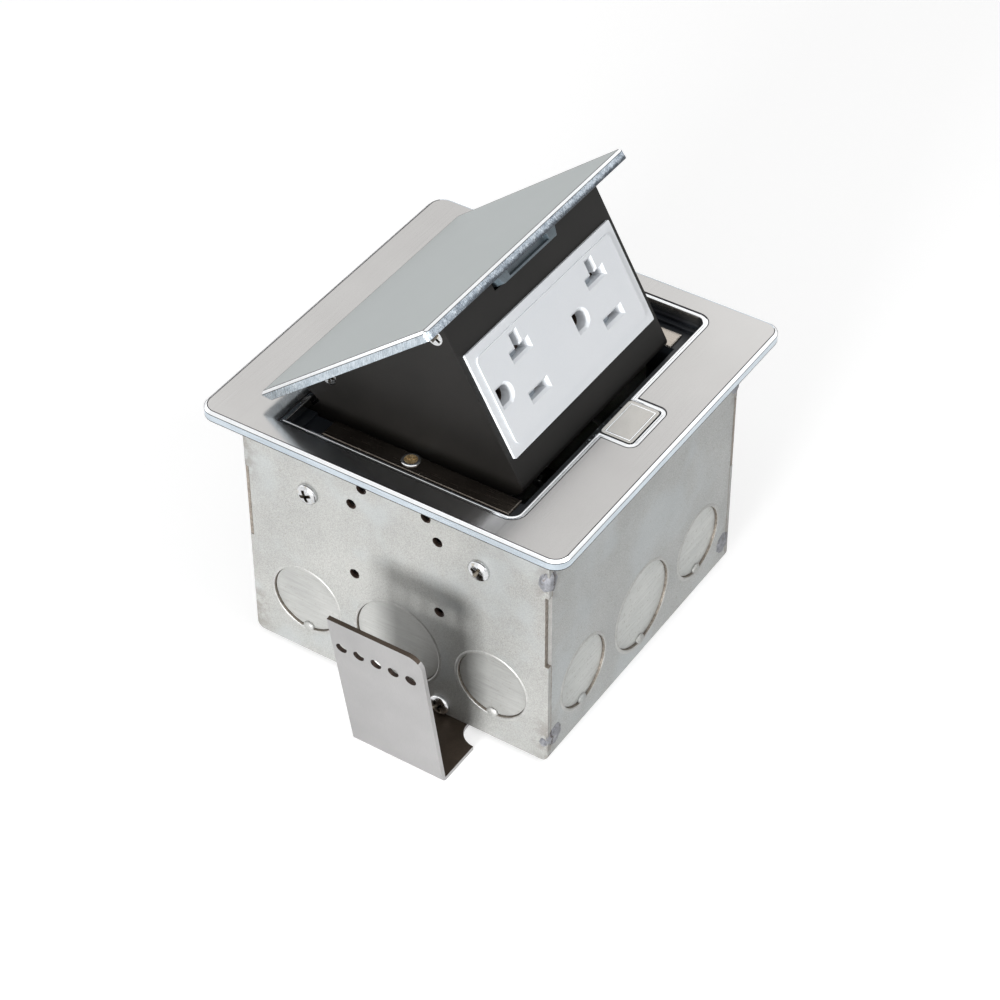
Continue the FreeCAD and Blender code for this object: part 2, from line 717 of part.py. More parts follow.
# Flat side sheets with knockouts, tapped holes, screw holes and seam slots
for side, start in (("left", "-box_width / 2"), ("right", BOX_INNER)):
    wall = new_body(f"box_side_{side}")
    sketch = new_sketch(wall, "YZ_Plane", start)
    slot_top = "(-seam_slot_top)"
    slot_base = "(-seam_slot_top - seam_slot_length)"
    outline(sketch, [
        (BOX_FRONT, BOX_TOP),
        (BOX_FRONT, slot_top),
        (f"{BOX_FRONT} + seam_slot_depth", slot_top),
        (f"{BOX_FRONT} + seam_slot_depth", slot_base),
        (BOX_FRONT, slot_base),
        (BOX_FRONT, BOX_BASE),
        (BOX_REAR, BOX_BASE),
        (BOX_REAR, slot_base),
        (f"{BOX_REAR} - seam_slot_depth", slot_base),
        (f"{BOX_REAR} - seam_slot_depth", slot_top),
        (BOX_REAR, slot_top),
        (BOX_REAR, BOX_TOP),
    ])
    for sign in ("-", "+"):
        disc(sketch, f"box_offset {sign} knockout_spacing", knockout_z, "small_knockout")
        middle = f"box_offset {sign} wall_screw_spacing"
        disc(sketch, middle, "-wall_screw_depth", "machine_shank + screw_gap")
        disc(sketch, f"{sign}upper_tapped_spacing", "-upper_tapped_depth", "tapped_radius")
        disc(sketch, f"{sign}top_tapped_spacing", "-top_tapped_depth", "tapped_radius")
        disc(sketch, f"{sign}upper_tapped_spacing", "-lower_tapped_depth", "tapped_radius")
    disc(sketch, "box_offset", knockout_z, "large_knockout")
    screw_y = "-bracket_place" if side == "left" else "bracket_place"
    disc(sketch, screw_y, f"{BOX_BASE} + bracket_screw_height", "machine_shank + screw_gap")
    pad(wall, sketch, "box_sheet")
    round_edges(wall, "box_bend", at_corners(sketch, "x", 5, 6))


def slugs(label, radius, offsets):
    """Knockout discs of one size, pressed a little into the four walls."""
    size = f"{radius} - knockout_gap"
    pieces = []
    for i, offset in enumerate(offsets):
        for x in ("knockout_recess - box_width / 2", f"{BOX_INNER} - knockout_recess"):
            place = spot(x, f"box_offset + ({offset})", knockout_z, "+x")
            pieces.append(cylinder(f"{label}_{len(pieces)}", size, "box_sheet", place))
        for y in (f"{BOX_FRONT} + knockout_recess", f"{BOX_REAR} - box_sheet - knockout_recess"):
            place = spot(offset, y, knockout_z, "+y")
            pieces.append(cylinder(f"{label}_{len(pieces)}", size, "box_sheet", place))
    return group(label, pieces)


slugs("knockouts_small", "small_knockout", ["-knockout_spacing", "knockout_spacing"])
slugs("knockouts_large", "large_knockout", ["0"])

group("box_screws", [
    screw(f"box_screw_{side}_{sign}", (x, f"box_offset {sign} wall_screw_spacing", "-wall_screw_depth"), way,
          "machine_head", "machine_head_height", "machine_shank", "box_sheet + boss_depth")
    for side, x, way in (("l", "-box_width / 2", "-x"), ("r", "box_width / 2", "+x"))
    for sign in ("-", "+")
])
group("bracket_screws", [
    screw(f"bracket_screw_{side}", (x, y, f"{BOX_BASE} + bracket_screw_height"), way,
          "machine_head", "machine_head_height", "machine_shank", "box_sheet + bracket_sheet + screw_tip")
    for side, x, y, way in (("l", "-box_width / 2", "-bracket_place", "-x"),
                            ("r", "box_width / 2", "bracket_place", "+x"))
])
group("ground_screw", [
    screw("ground_screw_piece", ("ground_screw_place", "ground_screw_place", f"{BOX_BASE} + box_sheet"), "+z",
          "machine_head * 1.2", "machine_head_height", "machine_shank", "box_sheet")
])

# Brackets: tab in the box, tongue under it, bend and leaning leg; one turned half round for the far side
lean = "(bracket_lean * 1 deg)"
bend_x = "(-box_width / 2 - bracket_reach)"
bend_z = f"({BOX_BASE} - bracket_sheet)"
leg_x = f"({bend_x} - bracket_leg * sin{lean})"
leg_z = f"({bend_z} + bracket_leg * cos{lean})"
for side, turn in (("left", "0"), ("right", "180")):
    bracket = new_body(f"bracket_{side}", f"placement(vector(0; 0; 0); rotation(vector(0; 0; 1); {turn}))")
    sketch = new_sketch(bracket, "XZ_Plane", "bracket_place - bracket_width / 2")
    outline(sketch, [
        (bend_x, bend_z),
        (f"bracket_sheet - {BOX_INNER}", bend_z),
        (f"bracket_sheet - {BOX_INNER}", f"{BOX_BASE} + bracket_tab"),
        (minus(BOX_INNER), f"{BOX_BASE} + bracket_tab"),
        (minus(BOX_INNER), BOX_BASE),
        (f"{bend_x} + bracket_sheet * cos{lean} - bracket_sheet * (1 - sin{lean}) * tan{lean}", BOX_BASE),
        (f"{leg_x} + bracket_sheet * cos{lean}", f"{leg_z} + bracket_sheet * sin{lean}"),
        (leg_x, leg_z),
    ])
    pad(bracket, sketch, "bracket_width")
    round_edges(bracket, "bracket_bend", at_corners(sketch, "y", 0))
    sketch = new_sketch(bracket, "XY_Plane", f"{BOX_BASE} + bracket_tab + 1")
    for sign in ("-", "+"):
        edge_y = f"(-bracket_place {sign} bracket_width / 2)"
        disc(sketch, "-box_width / 2", edge_y, "bracket_notch")
    pocket(bracket, sketch, "bracket_tab + bracket_sheet + 2")
    sketch = new_sketch(bracket, "XY_Plane", f"{BOX_BASE} + bracket_tab + 1")
    for low, high in (("-bracket_place - bracket_width / 2 - 1", f"-bracket_place - {tongue}"),
                      (f"-bracket_place + {tongue}", f"-bracket_place + bracket_width / 2 + 1")):
        rectangle(sketch, "-box_width / 2", f"bracket_sheet + 1 - {BOX_INNER}", low, high)
    pocket(bracket, sketch, "bracket_tab + bracket_sheet + 2")
    sketch = new_sketch(bracket, "YZ_Plane")
    hole_z = f"({bend_z} + bracket_hole_height * cos{lean})"
    for step in (-2, -1, 0, 1, 2):
        disc(sketch, f"-bracket_place + {step} * bracket_hole_pitch + 0.8", hole_z, "bracket_hole")
    pocket(bracket, sketch, "box_width")
    sketch = new_sketch(bracket, "YZ_Plane")
    disc(sketch, "-bracket_place", f"{BOX_BASE} + bracket_screw_height", "machine_shank + screw_gap")
    pocket(bracket, sketch, "box_width / 2")
    doc.recompute()
    whole = bracket.Tip.Shape.BoundBox
    round_edges(bracket, "bracket_corner", lambda edge: edge.BoundBox.YLength < 1e-6
                and edge.BoundBox.ZMax > whole.ZMax - 0.001 and edge.Length < 2 * number("bracket_sheet")
                and abs(edge.CenterOfMass.y - whole.YMin) < 0.001)

# Hinge rod and its two lifting springs
rod_start = spot("-rod_length / 2", "pivot_place", "-pivot_depth", "+x")
rod = cylinder("hinge_rod", "rod_radius", "rod_length", rod_start)
rod.Label = "hinge_rod"
for side, start in (("left", "-lift_place - lift_length"), ("right", "lift_place")):
    coil(f"lift_spring_{side}", "lift_coil", "lift_wire", "lift_pitch", "lift_length",
         spot(start, "pivot_place", "-pivot_depth", "+x"))

# Push button: cap with a grooved border, and a stem with a sloping cam face
button = new_body("push_button")
sketch = new_sketch(button, "XY_Plane", BUTTON_UNDER)
button_rear = f"({BUTTON_FRONT} + button_length)"
rectangle(sketch, "-button_width / 2", "button_width / 2", BUTTON_FRONT, button_rear)
pad(button, sketch, "button_height")
round_edges(button, "button_corner", upright)
sketch = new_sketch(button, "XY_Plane", PLATE_TOP)
for inset in ("border_inset", "(border_inset + border_width)"):
    rectangle(sketch, f"{inset} - button_width / 2", f"button_width / 2 - {inset}",
              f"{BUTTON_FRONT} + {inset}", f"{button_rear} - {inset}")
pocket(button, sketch, "border_depth")
sketch = new_sketch(button, "YZ_Plane", "-stem_width / 2")
outline(sketch, [
    ("-stem_rear", BUTTON_UNDER),
    ("-stem_front - cam_height", BUTTON_UNDER),
    ("-stem_front - cam_height", "cam_height - cam_foot"),
    ("-stem_front", "-cam_foot"),
    ("-stem_front", "-stem_foot"),
    ("-stem_rear", "-stem_foot"),
])
pad(button, sketch, "stem_width")

# Latch bolt: flat plate with a window for the stem and shoulders for its springs
bolt = new_body("latch_bolt")
sketch = new_sketch(bolt, "XY_Plane", BOLT_BASE)
outline(sketch, [
    ("-bolt_width / 2", "-bolt_nose"),
    ("-bolt_width / 2", "-bolt_shoulder"),
    ("-bolt_tail_width / 2", "-bolt_shoulder"),
    ("-bolt_tail_width / 2", "-bolt_tail"),
    ("bolt_tail_width / 2", "-bolt_tail"),
    ("bolt_tail_width / 2", "-bolt_shoulder"),
    ("bolt_width / 2", "-bolt_shoulder"),
    ("bolt_width / 2", "-bolt_nose"),
])
rectangle(sketch, "-stem_width / 2 - bolt_gap", "stem_width / 2 + bolt_gap",
          "bolt_bar - bolt_tail", "press_travel + 0.4 - stem_rear")
pad(bolt, sketch, "bolt_thickness")

coil("button_spring", "press_coil", "press_wire", "press_pitch",
     f"-stem_foot - {SPRING_FLOOR} - 2 * press_wire",
     spot("0", "-(stem_rear + stem_front) / 2", f"{SPRING_FLOOR} + press_wire", "+z"))
bolt_spring_back = f"({COLLAR_FRONT} + 0.4 + bolt_wire)"
group("latch_springs", [
    coil(f"latch_spring_{side}", "bolt_coil", "bolt_wire", "bolt_pitch",
         f"-bolt_shoulder - {bolt_spring_back} - bolt_wire",
         spot(x, bolt_spring_back, "-bolt_depth - bolt_thickness / 2", "+y"))
    for side, x in (("l", "-bolt_coil_place"), ("r", "bolt_coil_place"))
])

# Lid: plate with bevelled top edges and an undercut rear edge, raised at the front
lid = new_body("lid", RAISED)
sketch = new_sketch(lid, "YZ_Plane", "-lid_width / 2")
outline(sketch, [
    (LID_FRONT, LID_UNDER),
    (f"{LID_REAR} - lid_rear_slope", LID_UNDER),
    (LID_REAR, f"{PLATE_TOP} - lid_bevel"),
    (f"{LID_REAR} - lid_bevel", PLATE_TOP),
    (f"{LID_FRONT} + lid_bevel", PLATE_TOP),
    (LID_FRONT, f"{PLATE_TOP} - lid_bevel"),
])
pad(lid, sketch, "lid_width")
bevel_edges(lid, "lid_bevel", lambda edge: along(edge, "y") and level(edge, plate_top))
round_edges(lid, "lid_corner", lambda edge: upright(edge) and edge.CenterOfMass.y < 0)

# Bars under the lid that take the side screws
bars = new_body("lid_bars", RAISED)
bars.AllowCompound = True
sketch = new_sketch(bars, "XY_Plane", LID_UNDER)
side_in = "(carrier_width / 2 - carrier_sheet)"
for low, high in ((minus(side_in), f"bar_width - {side_in}"), (f"{side_in} - bar_width", side_in)):
    rectangle(sketch, low, high, "-bar_start", "bar_end")
pad(bars, sketch, "bar_height", True)
sketch = new_sketch(bars, "YZ_Plane", "carrier_width / 2")
for y in ("-lid_screw_front", "lid_screw_rear"):
    disc(sketch, y, "-lid_screw_depth", "small_shank + screw_gap")
pocket(bars, sketch, "carrier_width")

# Carrier: sloping face, bent lower return, side plates and hinge arms folded from one sheet
carrier = new_body("carrier", RAISED)
tilt = "(face_lean * 1 deg)"


def face_y(height, inset="0"):
    """Place of the face plane, or of a plane parallel to it, at a height."""
    return f"(-face_place - ({height} + face_depth) * tan{tilt} + ({inset}) / cos{tilt})"


heel_y = f"(-face_place + face_drop * sin{tilt})"
heel_z = f"(-face_depth - face_drop * cos{tilt})"
sketch = new_sketch(carrier, "YZ_Plane", "-carrier_width / 2")
outline(sketch, [
    (face_y(LID_UNDER), LID_UNDER),
    (heel_y, heel_z),
    (f"{heel_y} + return_depth * cos{tilt}", f"{heel_z} + return_depth * sin{tilt}"),
    ("side_rear", "-side_drop"),
    ("side_top_rear", LID_UNDER),
])
pad(carrier, sketch, "carrier_width")
fold = sketch
rise = f"({PLATE_TOP} + pivot_depth)"
throat = f"(sqrt((pivot_place - opening_rear) ^ 2 + {rise} ^ 2) + throat_gap)"
sketch = new_sketch(carrier, "YZ_Plane", "carrier_width / 2")
disc(sketch, "pivot_place", "-pivot_depth", throat)
pocket(carrier, sketch, "carrier_width")
stop = ("(atan((gasket_thickness + pivot_depth) / (pivot_place - opening_rear))"
        " - (open_angle + stop_gap) * 1 deg)")
root = f"({throat} + arm_root)"
root_y = f"(pivot_place - {root} * cos{stop})"
root_z = f"(-pivot_depth + {root} * sin{stop})"
sketch = new_sketch(carrier, "YZ_Plane", "-carrier_width / 2")
outline(sketch, [
    (root_y, root_z),
    (f"{root_y} - arm_depth * sin{stop}", f"{root_z} - arm_depth * cos{stop}"),
    (f"pivot_place - arm_depth * sin{stop}", f"-pivot_depth - arm_depth * cos{stop}"),
    ("pivot_place", "-pivot_depth"),
])
pad(carrier, sketch, "carrier_width")
sketch = new_sketch(carrier, "YZ_Plane", "-carrier_width / 2")
disc(sketch, "pivot_place", "-pivot_depth", "hub_radius")
pad(carrier, sketch, "carrier_width")
sketch = new_sketch(carrier, "YZ_Plane", "carrier_width / 2 - carrier_sheet")
room_top = f"({LID_UNDER} + 5)"
inner_y = f"({heel_y} + carrier_sheet * cos{tilt} - carrier_sheet * sin{tilt})"
inner_z = f"({heel_z} + carrier_sheet * sin{tilt} + carrier_sheet * cos{tilt})"
outline(sketch, [
    (face_y(room_top, "carrier_sheet"), room_top),
    (inner_y, inner_z),
    (f"{inner_y} + 100 * cos{tilt}", f"{inner_z} + 100 * sin{tilt}"),
    (f"{inner_y} + 100 * cos{tilt}", room_top),
])
pocket(carrier, sketch, "carrier_width - 2 * carrier_sheet")
round_edges(carrier, "carrier_bend - carrier_sheet", at_corners(sketch, "x", 1))
round_edges(carrier, "carrier_bend", at_corners(fold, "x", 1))

# Window, catch notch, bores and screw holes in the carrier
sketch = new_sketch(carrier, "XZ_Plane", "face_place + 15")
window_z = f"(window_height / 2 * cos{tilt})"
rectangle(sketch, "-window_width / 2", "window_width / 2",
          f"-face_depth - {window_z}", f"-face_depth + {window_z}")
rectangle(sketch, "-face_notch_width / 2", "face_notch_width / 2",
          f"{LID_UNDER} - face_notch_depth", f"{LID_UNDER} + 1")
pocket(carrier, sketch, "30")
sketch = new_sketch(carrier, "YZ_Plane", "carrier_width / 2")
disc(sketch, "pivot_place", "-pivot_depth", "rod_radius + rod_clearance")
for y in ("-lid_screw_front", "lid_screw_rear"):
    disc(sketch, y, "-lid_screw_depth", "small_head + screw_gap")
pocket(carrier, sketch, "carrier_width")

lid_screw_pieces = []
for x, way in (("-carrier_width / 2", "-x"), ("carrier_width / 2", "+x")):
    for y in ("-lid_screw_front", "lid_screw_rear"):
        name = f"lid_screw_{len(lid_screw_pieces)}"
        place = spot(x, y, "-lid_screw_depth", OPPOSITE[way], RAISED)
        head = cone(f"{name}_head", "small_head", "small_shank", "carrier_sheet", place)
        shank = cylinder(f"{name}_shank", "small_shank", "carrier_sheet + bar_width - 0.4", place)
        piece = doc.addObject("Part::Fuse", name)
        piece.Base = head
        piece.Tool = shank
        lid_screw_pieces.append(piece)
group("lid_screws", lid_screw_pieces)

# Catch through the face notch, with a pocket for the bolt's nose
catch = new_body("latch_catch", RAISED)
sketch = new_sketch(catch, "XZ_Plane", "catch_front")
catch_foot = f"({LID_UNDER} - catch_height)"
foot_x = "(catch_width / 2 - catch_slant)"
outline(sketch, [
    ("-catch_width / 2", LID_UNDER),
    (minus(foot_x), catch_foot),
    (foot_x, catch_foot),
    ("catch_width / 2", LID_UNDER),
])
pad(catch, sketch, "catch_length", True)
sketch = new_sketch(catch, "XZ_Plane", "catch_front")
pocket_x = f"({foot_x} - catch_end)"
rectangle(sketch, minus(pocket_x), pocket_x, f"{catch_foot} + catch_lip", f"{LID_UNDER} + 1")
pocket(catch, sketch, "catch_recess")

# Receptacle cover: frame, raised panel, snout through the window, slots for two outlets
cover = new_body("receptacle_cover", ON_FACE)
sketch = new_sketch(cover, "XY_Plane")
rectangle(sketch, "-cover_width / 2", "cover_width / 2", "-cover_height / 2", "cover_height / 2")
pad(cover, sketch, "cover_thickness")
round_edges(cover, "cover_corner", upright)
sketch = new_sketch(cover, "XY_Plane", "cover_thickness")
panel_x = "(cover_width / 2 - panel_inset)"
panel_y = "(cover_height / 2 - panel_inset)"
rectangle(sketch, minus(panel_x), panel_x, minus(panel_y), panel_y)
pad(cover, sketch, "panel_rise")
round_edges(cover, "panel_corner", at_corners(sketch, "z", 0, 1, 2, 3))
panel_box = sketch.Shape.BoundBox
sketch = new_sketch(cover, "XY_Plane")
rectangle(sketch, "-shell_width / 2", "shell_width / 2", "-snout_height / 2", "snout_height / 2")
pad(cover, sketch, "snout_depth", True)
sketch = new_sketch(cover, "XY_Plane", COVER_TOP)
OUTLETS = ("(-outlet_place)", "(outlet_spacing - outlet_place)")
for middle in OUTLETS:
    low = f"{middle} - blade_slot_length / 2"
    high = f"{middle} + blade_slot_length / 2"
    rectangle(sketch, low, high,
              "-blade_spacing / 2 - blade_slot_width / 2", "-blade_spacing / 2 + blade_slot_width / 2")
    tee_top = "(blade_spacing / 2 + blade_slot_width / 2)"
    outline(sketch, [
        (low, "blade_spacing / 2 - blade_slot_width / 2"),
        (high, "blade_spacing / 2 - blade_slot_width / 2"),
        (high, tee_top),
        (f"{middle} + blade_slot_width / 2", tee_top),
        (f"{middle} + blade_slot_width / 2", f"{tee_top} + tee_stem_length"),
        (f"{middle} - blade_slot_width / 2", f"{tee_top} + tee_stem_length"),
        (f"{middle} - blade_slot_width / 2", tee_top),
        (low, tee_top),
    ])
pocket(cover, sketch, f"{COVER_TOP} + snout_depth")
sketch = new_sketch(cover, "XY_Plane", COVER_TOP)
for middle in OUTLETS:
    disc(sketch, f"{middle} - ground_distance", "0", "ground_radius")
pocket(cover, sketch, f"{COVER_TOP} + snout_depth")
sketch = new_sketch(cover, "XY_Plane", COVER_TOP)
for middle in OUTLETS:
    ground_x = f"({middle} - ground_distance)"
    rectangle(sketch, f"{ground_x} - ground_flat", f"{ground_x} + 0.2", "-ground_radius", "ground_radius")
pocket(cover, sketch, f"{COVER_TOP} + snout_depth")
doc.recompute()
cover_top = cover.Tip.Shape.BoundBox.ZMax


def on_slot_rim(edge):
    """Whether an edge is on the rim of a slot or a ground hole."""
    box = edge.BoundBox
    clear_x = panel_box.XMin + 0.001 < box.XMin and box.XMax < panel_box.XMax - 0.001
    clear_y = panel_box.YMin + 0.001 < box.YMin and box.YMax < panel_box.YMax - 0.001
    return level(edge, cover_top) and clear_x and clear_y


bevel_edges(cover, "slot_chamfer", on_slot_rim)

# Receptacle shell, open to the cover
shell = new_body("receptacle_body", ON_FACE)
sketch = new_sketch(shell, "XY_Plane", SHELL_BACK)
rectangle(sketch, "-shell_width / 2", "shell_width / 2", "-shell_height / 2", "shell_height / 2")
pad(shell, sketch, "shell_depth")
round_edges(shell, "shell_round", lambda edge: edge.CenterOfMass.z < -number("snout_depth") - 0.1
            and not upright(edge) and not along(edge, "y"))
sketch = new_sketch(shell, "XY_Plane", "-snout_depth")
rectangle(sketch, "shell_wall - shell_width / 2", "shell_width / 2 - shell_wall",
          "shell_wall - shell_height / 2", "shell_height / 2 - shell_wall")
pocket(shell, sketch, "shell_depth - shell_wall")
sketch = new_sketch(shell, "XY_Plane", SHELL_FLOOR)
for x in ("-strap_screw_spacing / 2", "strap_screw_spacing / 2"):
    disc(sketch, x, "0", "small_shank + screw_gap")
pocket(shell, sketch, "shell_wall")
sketch = new_sketch(shell, "XZ_Plane", "shell_height / 2")
for x in ("-terminal_spacing / 2", "terminal_spacing / 2"):
    disc(sketch, x, "-terminal_depth", "small_shank + screw_gap")
pocket(shell, sketch, "shell_height")

# Metal strap round the back of the shell, with ears behind the carrier's face
strap = new_body("receptacle_strap", ON_FACE)
strap_in = "(shell_width / 2 + strap_fit)"
strap_out = "(shell_width / 2 + strap_fit + strap_sheet)"
ear = "(shell_width / 2 + strap_fit + strap_ear)"
ear_top = "(-carrier_sheet)"
ear_base = "(-carrier_sheet - strap_sheet)"
sketch = new_sketch(strap, "XZ_Plane", "-strap_width / 2")
outline(sketch, [
    (minus(ear), ear_top),
    (minus(strap_in), ear_top),
    (minus(strap_in), SHELL_BACK),
    (strap_in, SHELL_BACK),
    (strap_in, ear_top),
    (ear, ear_top),
    (ear, ear_base),
    (strap_out, ear_base),
    (strap_out, STRAP_BACK),
    (minus(strap_out), STRAP_BACK),
    (minus(strap_out), ear_base),
    (minus(ear), ear_base),
])
pad(strap, sketch, "strap_width")
sketch = new_sketch(strap, "XY_Plane", SHELL_BACK)
for x in ("-strap_screw_spacing / 2", "0", "strap_screw_spacing / 2"):
    disc(sketch, x, "0", "small_shank + screw_gap")
pocket(strap, sketch, "strap_sheet")

group("strap_screws", [
    screw(f"strap_screw_{i}", (x, "0", STRAP_BACK), "-z", "small_head", "small_head_height", "small_shank",
          "strap_sheet + shell_wall", ON_FACE)
    for i, x in enumerate(("-strap_screw_spacing / 2", "strap_screw_spacing / 2"))
])
group("ground_terminal", [
    screw("ground_terminal_piece", ("0", "0", STRAP_BACK), "-z", "small_head * 1.3", "small_head_height * 1.2",
          "small_shank", "strap_sheet", ON_FACE)
])
for label, y, way in (("brass_terminals", "-shell_height / 2", "-y"),
                      ("silver_terminals", "shell_height / 2", "+y")):
    group(label, [
        screw(f"{label}_{i}", (x, y, "-terminal_depth"), way, "small_head * 1.3", "small_head_height * 1.3",
              "small_shank", "shell_wall", ON_FACE)
        for i, x in enumerate(("-terminal_spacing / 2", "terminal_spacing / 2"))
    ])

# Contact strips on the shell's floor: a bus with a pair of leaves behind each slot
for label, y, shift in (
    ("hot_contact", "(-blade_spacing / 2)", "0"),
    ("neutral_contact", "(blade_spacing / 2)", "0"),
    ("ground_contact", "0", "ground_distance"),
):
    contact = new_body(label, ON_FACE)
    ends = [f"({middle} - {shift})" for middle in OUTLETS]
    sketch = new_sketch(contact, "XY_Plane", SHELL_FLOOR)
    rectangle(sketch, f"{ends[0]} - contact_end", f"{ends[1]} + contact_end",
              f"{y} - contact_width / 2", f"{y} + contact_width / 2")
    pad(contact, sketch, "contact_sheet")
    sketch = new_sketch(contact, "XY_Plane", SHELL_FLOOR)
    for middle in ends:
        for low, high in (("-contact_width / 2", "contact_sheet - contact_width / 2"),
                          ("contact_width / 2 - contact_sheet", "contact_width / 2")):
            rectangle(sketch, f"{middle} - contact_leaf", f"{middle} + contact_leaf",
                      f"{y} + {low}", f"{y} + {high}")
    pad(contact, sketch, "contact_height")

doc.recompute()

# Every object is sound before anything is written
for item in doc.Objects:
    if "Invalid" in item.State or "Error" in item.State:
        raise RuntimeError(f"{item.Name} did not compute: {item.State}")

NODES = [
    "cover_plate", "flange_gasket", "inner_frame", "side_rail_left", "side_rail_right", "rail_screws",
    "box_wrap", "box_side_left", "box_side_right", "knockouts_small", "knockouts_large", "box_screws",
    "bracket_left", "bracket_right", "bracket_screws", "ground_screw", "hinge_rod",
    "lift_spring_left", "lift_spring_right", "button_spring", "latch_springs",
    "push_button", "latch_bolt",
    "lid", "lid_bars", "carrier", "lid_screws", "latch_catch",
    "receptacle_cover", "receptacle_body", "receptacle_strap", "strap_screws",
    "hot_contact", "neutral_contact", "ground_contact",
    "brass_terminals", "silver_terminals", "ground_terminal",
]
os.makedirs("parts", exist_ok=True)
for label in NODES:
    shape = doc.getObjectsByLabel(label)[0].Shape
    if shape.isNull() or not shape.isValid() or not shape.Solids:
        raise RuntimeError(f"{label} is not a sound solid")
    shape.exportStep(f"parts/{label}.step")
    box = shape.BoundBox
    print(f"{label:20s} {len(shape.Solids):3d} {shape.Volume:10.1f}  x {box.XMin:8.2f} {box.XMax:8.2f}"
          f"  y {box.YMin:8.2f} {box.YMax:8.2f}  z {box.ZMin:8.2f} {box.ZMax:8.2f}")
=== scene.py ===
import json
import math

import bmesh
import bpy
from mathutils import Matrix, Vector
from mathutils import noise as field


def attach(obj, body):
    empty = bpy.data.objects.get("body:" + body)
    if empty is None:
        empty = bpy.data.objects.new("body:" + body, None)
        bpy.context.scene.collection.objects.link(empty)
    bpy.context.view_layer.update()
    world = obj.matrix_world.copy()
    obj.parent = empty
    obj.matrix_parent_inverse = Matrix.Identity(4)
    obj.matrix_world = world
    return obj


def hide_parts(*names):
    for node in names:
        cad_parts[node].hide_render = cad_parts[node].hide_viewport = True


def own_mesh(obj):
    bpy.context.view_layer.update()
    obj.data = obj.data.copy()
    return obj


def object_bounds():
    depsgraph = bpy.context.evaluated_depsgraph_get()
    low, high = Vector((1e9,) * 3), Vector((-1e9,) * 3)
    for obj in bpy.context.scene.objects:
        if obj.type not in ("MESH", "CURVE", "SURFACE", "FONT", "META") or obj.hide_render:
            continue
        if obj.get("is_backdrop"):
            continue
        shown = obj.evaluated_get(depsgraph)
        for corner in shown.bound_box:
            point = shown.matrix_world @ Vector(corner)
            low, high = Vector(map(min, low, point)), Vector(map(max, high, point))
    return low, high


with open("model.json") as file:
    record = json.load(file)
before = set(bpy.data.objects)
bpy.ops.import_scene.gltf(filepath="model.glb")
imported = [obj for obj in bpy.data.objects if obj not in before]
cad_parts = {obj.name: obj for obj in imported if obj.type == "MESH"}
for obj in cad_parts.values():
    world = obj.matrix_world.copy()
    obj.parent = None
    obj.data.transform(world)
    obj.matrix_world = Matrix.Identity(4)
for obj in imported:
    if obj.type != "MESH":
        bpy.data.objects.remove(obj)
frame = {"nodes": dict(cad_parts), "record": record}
cad_low, cad_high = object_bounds()
nodes = frame["nodes"]
scene = bpy.context.scene
scene.view_settings.view_transform = "Standard"

MM = 0.001
TO_METRES = Matrix.Scale(MM, 4)
STILL = Matrix.Identity(4)

# Camera, fitted to the photograph's edges
EYE = Vector((-0.51788, -0.34198, 0.50853))
AXES = Matrix((
    (0.54656, 0.55973, -0.62289),
    (-0.83742, 0.36190, -0.40960),
    (-0.00384, 0.74549, 0.66651),
))
camera_data = bpy.data.cameras.new("camera")
camera_data.lens = 102.65
camera_data.sensor_width = 36.0
camera_data.clip_start = 0.01
camera_data.clip_end = 20.0
camera = bpy.data.objects.new("camera", camera_data)
camera.matrix_world = Matrix.Translation(EYE) @ AXES.to_4x4()
scene.collection.objects.link(camera)
scene.camera = camera

# Plate and button, in mm
PLATE_TOP = 4.0
PLATE_HALF = 58.7
PLATE_CORNER = 4.2
OPENING_X = 50.35
OPENING_FRONT = -39.3
OPENING_REAR = 35.5
OPENING_CORNER = 3.0
NOTCH_X = 8.3
NOTCH_FRONT = -49.6
NOTCH_CORNER = 1.4
BUTTON_X = 8.0
BUTTON_Y = 5.0
BUTTON_MIDDLE = -44.35

# The raised pose of the lid's group: a turn about the hinge rod, in mm
LID_ANGLE = math.radians(39.3)
HINGE = Vector((0, 45.2, -10))
RAISED = Matrix.Translation(HINGE) @ Matrix.Rotation(-LID_ANGLE, 4, "X") @ Matrix.Translation(-HINGE)
LID_NORMAL = Vector((0, math.sin(LID_ANGLE), math.cos(LID_ANGLE)))
LID_TOP = LID_NORMAL.dot(RAISED @ Vector((0, 0, PLATE_TOP)))
LID_TURN = (LID_ANGLE, 0, 0)
LID_X = 48.2
LID_FRONT = -37.4
LID_REAR = 33.05
FACE_PLACE = Matrix.Translation((0, -27.8, -26.2))
FACE_LEAN = Matrix.Rotation(math.radians(100), 4, "X")
ON_FACE = RAISED @ FACE_PLACE @ FACE_LEAN
OUTLETS = (-16.9, 21.2)
BLADE_Y = 6.35
GROUND_BACK = 11.9

# Box of the outlet, in mm
BOX_X = 50.8
BOX_FRONT = -50.4
BOX_REAR = 51.2
BOX_MIDDLE = 0.4
SEAM_X = 49.2
SLOT_LOW, SLOT_HIGH = -46.2, -19.2
SEAM_LOW, SEAM_HIGH = -79.5, -1.2
WELD_LOW, WELD_HIGH = -74.6, -14.0
HEAT_LOW, HEAT_HIGH = -75.2, -14.5
TAPPED = ((14.4, -16.7), (10.7, -9.6), (14.4, -43.1))
TAPPED_RADIUS = 2.2
KNOCKOUTS = ((-32.0, 11.3), (0.0, 14.1), (32.0, 11.3))
KNOCKOUT_Z = -62.6
BRACKET_ROW_Z = -39.9
BRACKET_ROW_HALF = 27.5
BRACKET_HOLE = 1.9

